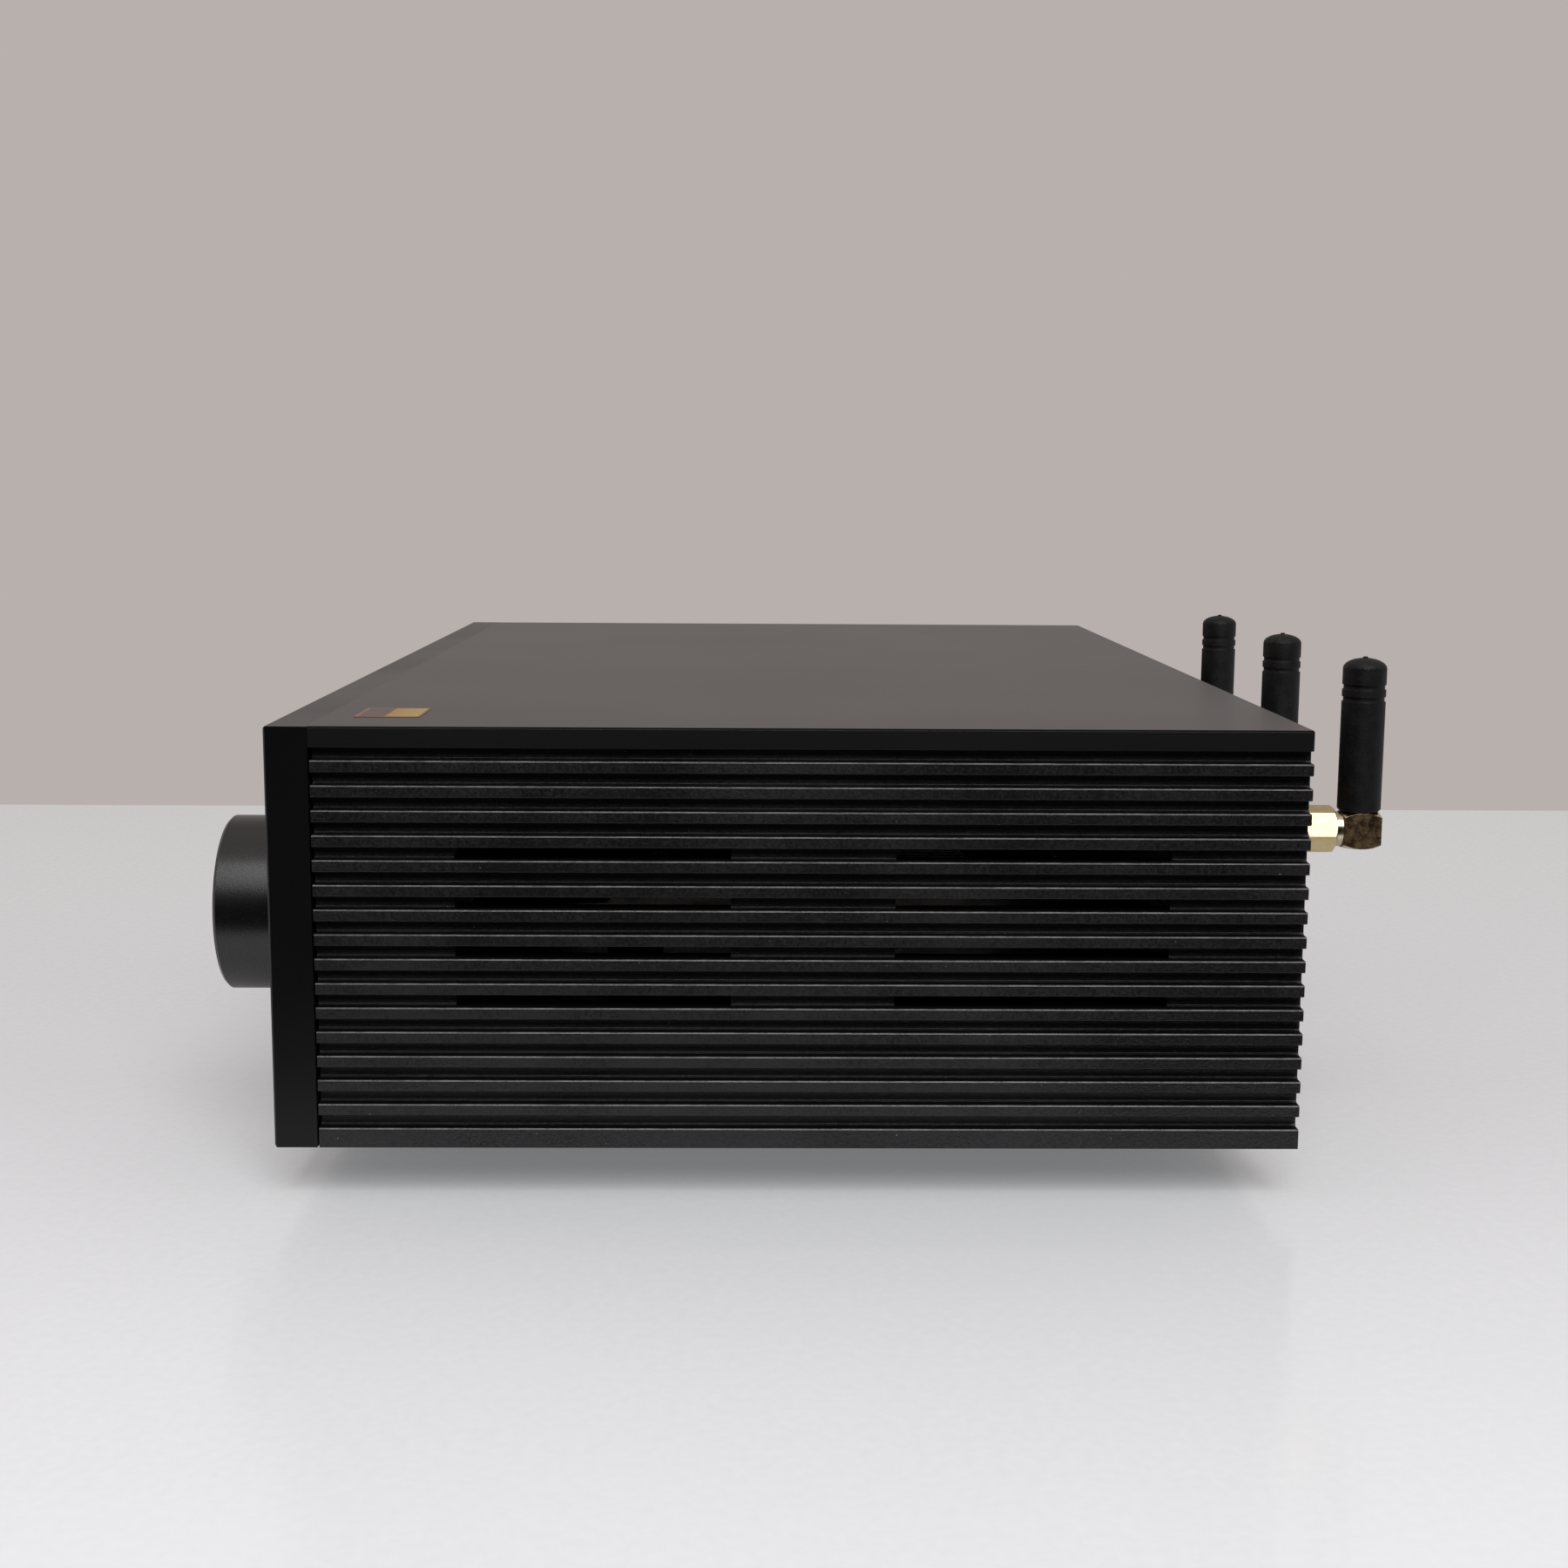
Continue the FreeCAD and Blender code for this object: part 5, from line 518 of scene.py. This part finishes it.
# The bar and the ring are printed on the rocker's two slopes, so each is turned
# with its own: the last value of its place is that turn in degrees.
BAR_SIZE = (0.55, 0.06, 3.4)
BAR_PLACE = (-115.6, 89.15, 0.4)
RING_RADII = (1.45, 0.27)
RING_FLATNESS = 0.12
RING_PLACE = (-107.4, 90.59, 19.6)
PRINT_HEIGHT = 66.7
bpy.ops.object.select_all(action="DESELECT")
bpy.ops.mesh.primitive_cube_add(size=1.0)
bar = bpy.context.active_object
bar.scale = [size * MM for size in BAR_SIZE]
bar.rotation_euler = (0, 0, math.radians(BAR_PLACE[2]))
bar.location = (BAR_PLACE[0] * MM, BAR_PLACE[1] * MM, PRINT_HEIGHT * MM)
bpy.ops.object.transform_apply(location=True, rotation=True, scale=True)
bpy.ops.object.select_all(action="DESELECT")
bpy.ops.mesh.primitive_torus_add(major_radius=RING_RADII[0] * MM, minor_radius=RING_RADII[1] * MM,
                                 major_segments=48, minor_segments=8)
ring = bpy.context.active_object
ring.scale = (1, 1, RING_FLATNESS)
bpy.ops.object.transform_apply(scale=True)
ring.rotation_euler = (math.radians(90), 0, math.radians(RING_PLACE[2]))
ring.location = (RING_PLACE[0] * MM, RING_PLACE[1] * MM, PRINT_HEIGHT * MM)
bpy.ops.object.transform_apply(location=True, rotation=True)
bar.select_set(True)
bpy.ops.object.join()
ring.name = "rocker_print"
ring.data.materials.clear()
ring.data.materials.append(print_white)
smooth(ring)
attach(ring, frame["nodes"]["power_rocker"]["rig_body"])
frame["nodes"]["rocker_pin"].material_slots[0].material = steel

# ---- Phono jacks ------------------------------------------------------------
# Four gold plated barrels on a moulded block. The insulators in the upper pair
# are white and those in the lower pair red.
low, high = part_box("phono_cores")
core_split = (low.z + high.z) / 2
cores, tree, place, shader, tint, relief = surface("moulded_insulator", ("#e4e2da", "#efede6"),
                                                   (0.34, 0.44), 0.6, 0.1, ior=1.5)
axes = node(tree, "ShaderNodeSeparateXYZ", links={0: (place, "Object")})
lower = node(tree, "ShaderNodeMath", {"operation": "LESS_THAN", 1: core_split},
             {0: (axes, "Z")})
channel = node(tree, "ShaderNodeMix", {"data_type": "RGBA", 7: linear("#a8201c")},
               {0: (lower, 0), 6: (tint, 2)})
tree.links.new(channel.outputs[2], shader.inputs["Base Color"])
from_node("phono_cores", "phono_insulators", (cores,), edge=0.15)
from_node("phono_barrels", "phono_shells", (gold,), edge=0.12)
from_node("phono_housing", "phono_block", (moulded,), edge=0.4)

# ---- Network, USB and video ports -------------------------------------------
# Folded shells of nickel plated sheet on the main board, with moulded tongues.
shell_metal = surface("folded_nickel_sheet", ("#a9a8a4", "#c2c0bb"), (0.24, 0.36), 0.8, 0.08,
                      metallic=1.0, cloud=7)[0]
for name, piece in (("network_port", "network_shell"), ("usb_ports", "usb_shells"),
                    ("video_port", "video_shell")):
    from_node(name, piece, (shell_metal,), edge=0.15)
from_node("port_tongues", "socket_tongues", (moulded,), edge=0.08)

# ---- Circuit boards ---------------------------------------------------------
# Glass fibre boards with green solder mask on brass pillars, and what is
# soldered to them. The copper tracks show through the mask as paler rows.
TRACK_TILE = 20.0
TRACK_WIDTH = 1.6
TRACK_LENGTH = 7.0
TRACK_GAP = 0.24
TRACK_SHARE = 0.7
board, tree, place, shader, tint, relief = surface("green_solder_mask", ("#0f4a26", "#17592f"),
                                                   (0.26, 0.36), 0.8, 0.1, ior=1.5, cloud=12)
tracks = node(tree, "ShaderNodeTexBrick",
              {"Scale": PER_METRE / TRACK_TILE, "Mortar Size": TRACK_GAP / TRACK_TILE,
               "Brick Width": TRACK_LENGTH / TRACK_TILE, "Row Height": TRACK_WIDTH / TRACK_TILE,
               "Color1": linear("#125029"), "Color2": linear("#1d6a3a"),
               "Mortar": linear("#0c3f20")},
              {"Vector": (place, "Object")})
copper = node(tree, "ShaderNodeMix", {"data_type": "RGBA", 0: TRACK_SHARE},
              {6: (tint, 2), 7: (tracks, "Color")})
tree.links.new(copper.outputs[2], shader.inputs["Base Color"])
for name in ("main_board", "audio_board", "supply_board", "switch_board", "drive_backplane"):
    frame["nodes"][name].material_slots[0].material = board
brass = surface("turned_brass", ("#b8923f", "#d0ac5c"), (0.25, 0.36), 0.5, 0.06, metallic=1.0,
                cloud=5)[0]
sleeve = surface("black_shrink_sleeve", ("#161618", "#202024"), (0.36, 0.46), 0.7, 0.1, ior=1.5,
                 cloud=6)[0]
sink_black = surface("anodised_sink_black", ("#1c1c1d", "#262627"), (0.4, 0.5), 0.3, 0.2,
                     ior=1.6)[0]
for name, material in (("board_pillars", brass), ("board_screws", zinc), ("board_parts", sleeve),
                       ("heat_sink", sink_black)):
    frame["nodes"][name].material_slots[0].material = material

# ---- Drive bay --------------------------------------------------------------
# A folded cage of zinc plated sheet stands on the bottom plate, with moulded
# rails inside it that the tray's carrier runs in.
frame["nodes"]["drive_cage"].material_slots[0].material = zinc
frame["nodes"]["guide_rails"].material_slots[0].material = moulded

# ---- Tray and hard drive ----------------------------------------------------
# The carrier is bent from bare aluminium sheet. The 2.5 inch drive is screwed to
# it from the sides, and the tray's anodised front closes the opening in the rear
# panel.
bare = surface("bare_aluminium_sheet", ("#b4b6b8", "#c9cbcc"), (0.30, 0.42), 0.5, 0.12,
               metallic=1.0, cloud=14)[0]
cast, tree, place, shader, tint, relief = surface("cast_drive_body", ("#94989b", "#9ea1a3"),
                                                  (0.36, 0.5), 0.5, 0.3, metallic=1.0, cloud=8)
# The drive's paper label lies on its top, above the floor height. The first
# field is the paper and the others are plain grey bars on it, without words.
PAPER_FLOOR = 31.3
PAPER_FIELDS = (((28.0, 80.0), (-6.0, 58.0)), ((32.0, 60.0), (48.0, 51.0)),
                ((32.0, 52.0), (42.0, 44.0)), ((32.0, 76.0), (0.0, 6.0)))
axes = node(tree, "ShaderNodeSeparateXYZ", links={0: (place, "Object")})
fields = []
for across, along in PAPER_FIELDS:
    field = node(tree, "ShaderNodeMath", {"operation": "GREATER_THAN", 1: PAPER_FLOOR * MM},
                 {0: (axes, "Z")})
    for axis, (start, end) in (("X", across), ("Y", along)):
        shifted = node(tree, "ShaderNodeMath",
                       {"operation": "SUBTRACT", 1: (start + end) / 2 * MM}, {0: (axes, axis)})
        away = node(tree, "ShaderNodeMath", {"operation": "ABSOLUTE"}, {0: (shifted, 0)})
        within = node(tree, "ShaderNodeMath",
                      {"operation": "LESS_THAN", 1: (end - start) / 2 * MM}, {0: (away, 0)})
        field = node(tree, "ShaderNodeMath", {"operation": "MULTIPLY"},
                     {0: (field, 0), 1: (within, 0)})
    fields.append(field)
paper = node(tree, "ShaderNodeMix", {"data_type": "RGBA", 7: linear("#d9d9d4")},
             {0: (fields[0], 0), 6: (tint, 2)})
for grey_bar in fields[1:]:
    paper = node(tree, "ShaderNodeMix", {"data_type": "RGBA", 7: linear("#4b4d50")},
                 {0: (grey_bar, 0), 6: (paper, 2)})
tree.links.new(paper.outputs[2], shader.inputs["Base Color"])
metal = node(tree, "ShaderNodeMath", {"operation": "SUBTRACT", 0: 1.0}, {1: (fields[0], 0)})
tree.links.new(metal.outputs[0], shader.inputs["Metallic"])
from_node("tray_carrier", "sheet_carrier", (bare,), edge=0.15)
from_node("hard_drive", "small_hard_drive", (cast,), edge=0.25)
frame["nodes"]["drive_screws"].material_slots[0].material = zinc
tray_front = from_node("tray_front", "tray_face", (case_black, painted_edge_highlight),
                       edge=0.08)
# Its broken edges that look up get the lighter edge black, a painted highlight.
upper_edges(tray_front, 1)

# ---- Tray lever -------------------------------------------------------------
# A flat anodised lever in the tray's front swings out on a steel pin to pull the
# tray.
from_node("tray_lever", "pull_lever", (case_black, painted_edge_highlight), edge=0.2)
frame["nodes"]["lever_pin"].material_slots[0].material = steel

# ---- Studio -----------------------------------------------------------------
# A plain pale table in front of an even grey wall, lit by a weak ceiling lamp
# and one wide soft lamp high in front of the right side. The camera looks at
# that side from a little above.
WALL_TONE = "#b8b0ad"
FLOOR_BACK = -320.0
FLOOR_FRONT = 1500.0
FLOOR_HALF = 1600.0
TABLE_EDGE = (184.0, 200.0)
TABLE_GLOW = (0.2, 0.4)
TABLE_GLOW_SPAN = (60.0, 260.0)
table, tree, place, shader, tint, relief = surface("pale_table_top", ("#dcdfe2", "#e0e3e6"),
                                                   (0.16, 0.22), 2.0, 0.0, ior=1.45, cloud=300)
rays = node(tree, "ShaderNodeLightPath")
axes = node(tree, "ShaderNodeSeparateXYZ", links={0: (place, "Object")})
# The camera sees the table go on, but in what the case reflects it ends at its
# edge, with a dark room beyond.
beyond = node(tree, "ShaderNodeMapRange",
              {"From Min": TABLE_EDGE[0] * MM, "From Max": TABLE_EDGE[1] * MM},
              {"Value": (axes, "X")})
hidden = node(tree, "ShaderNodeMath", {"operation": "SUBTRACT", 0: 1.0},
              {1: (rays, "Is Camera Ray")})
dark = node(tree, "ShaderNodeMath", {"operation": "MULTIPLY"}, {0: (beyond, 0), 1: (hidden, 0)})
top = node(tree, "ShaderNodeMix", {"data_type": "RGBA", 7: linear("#14110f")},
           {0: (dark, 0), 6: (tint, 2)})
tree.links.new(top.outputs[2], shader.inputs["Base Color"])
shader.inputs["Emission Color"].default_value = linear("#dcdee0")
# For camera rays the table also glows, weak beside the case and stronger towards the front: painted
# light, faint in the case's shadow and brightest where the table is lit.
painted_glow_ramp = node(tree, "ShaderNodeMapRange",
                 {"From Min": TABLE_GLOW_SPAN[0] * MM, "From Max": TABLE_GLOW_SPAN[1] * MM,
                  "To Min": TABLE_GLOW[0], "To Max": TABLE_GLOW[1]}, {"Value": (axes, "X")})
glow = node(tree, "ShaderNodeMath", {"operation": "MULTIPLY"},
            {0: (painted_glow_ramp, 0), 1: (rays, "Is Camera Ray")})
tree.links.new(glow.outputs[0], shader.inputs["Emission Strength"])
bpy.ops.object.select_all(action="DESELECT")
bpy.ops.mesh.primitive_plane_add(size=1.0)
floor = bpy.context.active_object
floor.name = "table_top"
floor.scale = ((FLOOR_FRONT - FLOOR_BACK) * MM, 2 * FLOOR_HALF * MM, 1.0)
floor.location = ((FLOOR_FRONT + FLOOR_BACK) / 2 * MM, 0, 0)
bpy.ops.object.transform_apply(location=True, scale=True)
floor.data.materials.append(table)

# The wall is the world's own colour. What the case reflects of it is dark on the
# open side, in front of the right wall, and grey overhead.
world = bpy.data.worlds.new("even_grey_room")
bpy.context.scene.world = world
world.use_nodes = True
tree = world.node_tree
tree.nodes.clear()
rays = node(tree, "ShaderNodeLightPath")
seen = node(tree, "ShaderNodeMath", {"operation": "MAXIMUM"},
            {0: (rays, "Is Camera Ray"), 1: (rays, "Is Transmission Ray")})
sky = node(tree, "ShaderNodeTexCoord")
axes = node(tree, "ShaderNodeSeparateXYZ", links={0: (sky, "Generated")})
open_side = node(tree, "ShaderNodeMapRange", {"From Min": 0.0, "From Max": 0.6},
                 {"Value": (axes, "X")})
around = node(tree, "ShaderNodeMix",
              {"data_type": "RGBA", 6: linear(WALL_TONE), 7: linear("#0e0e0e")},
              {0: (open_side, 0)})
overhead = node(tree, "ShaderNodeMapRange", {"From Min": 0.3, "From Max": 0.8},
                {"Value": (axes, "Z")})
room = node(tree, "ShaderNodeMix", {"data_type": "RGBA", 7: linear("#a59a99")},
            {0: (overhead, 0), 6: (around, 2)})
wall_seen = node(tree, "ShaderNodeBackground", {"Color": linear(WALL_TONE), "Strength": 1.0})
room_light = node(tree, "ShaderNodeBackground", {"Strength": 0.9}, {"Color": (room, 2)})
mixed = node(tree, "ShaderNodeMixShader",
             links={0: (seen, 0), 1: (room_light, 0), 2: (wall_seen, 0)})
node(tree, "ShaderNodeOutputWorld", links={"Surface": (mixed, 0)})

# Each lamp: its place and its two sides in metres, and its power in watts. Both
# point at the case.
LAMPS = (("soft_ceiling_lamp", (0.1, 0.1, 1.5), (1.6, 1.2), 1.5),
         ("soft_window_lamp", (1.65, 0.2, 1.62), (1.4, 1.46), 30.0))
LAMP_TARGET = Vector((0.1, 0, 0.05))
for name, spot, size, power in LAMPS:
    lamp_data = bpy.data.lights.new(name, "AREA")
    lamp_data.shape = "RECTANGLE"
    lamp_data.size = size[0]
    lamp_data.size_y = size[1]
    lamp_data.energy = power
    lamp = bpy.data.objects.new(name, lamp_data)
    lamp.location = spot
    lamp.rotation_euler = (Vector(spot) - LAMP_TARGET).to_track_quat("Z", "Y").to_euler()
    bpy.context.scene.collection.objects.link(lamp)

CAMERA_PLACE = (0.49345, -0.00956, 0.12818)
CAMERA_TURN = (81.7025, -0.3481, 89.2449)
camera_data = bpy.data.cameras.new("side_camera")
camera_data.sensor_width = 36.0
camera_data.lens = 47.48
camera_data.clip_start = 0.01
camera = bpy.data.objects.new("side_camera", camera_data)
camera.location = CAMERA_PLACE
camera.rotation_euler = [math.radians(angle) for angle in CAMERA_TURN]
bpy.context.scene.collection.objects.link(camera)
bpy.context.scene.camera = camera
bpy.context.scene.view_settings.view_transform = "Standard"
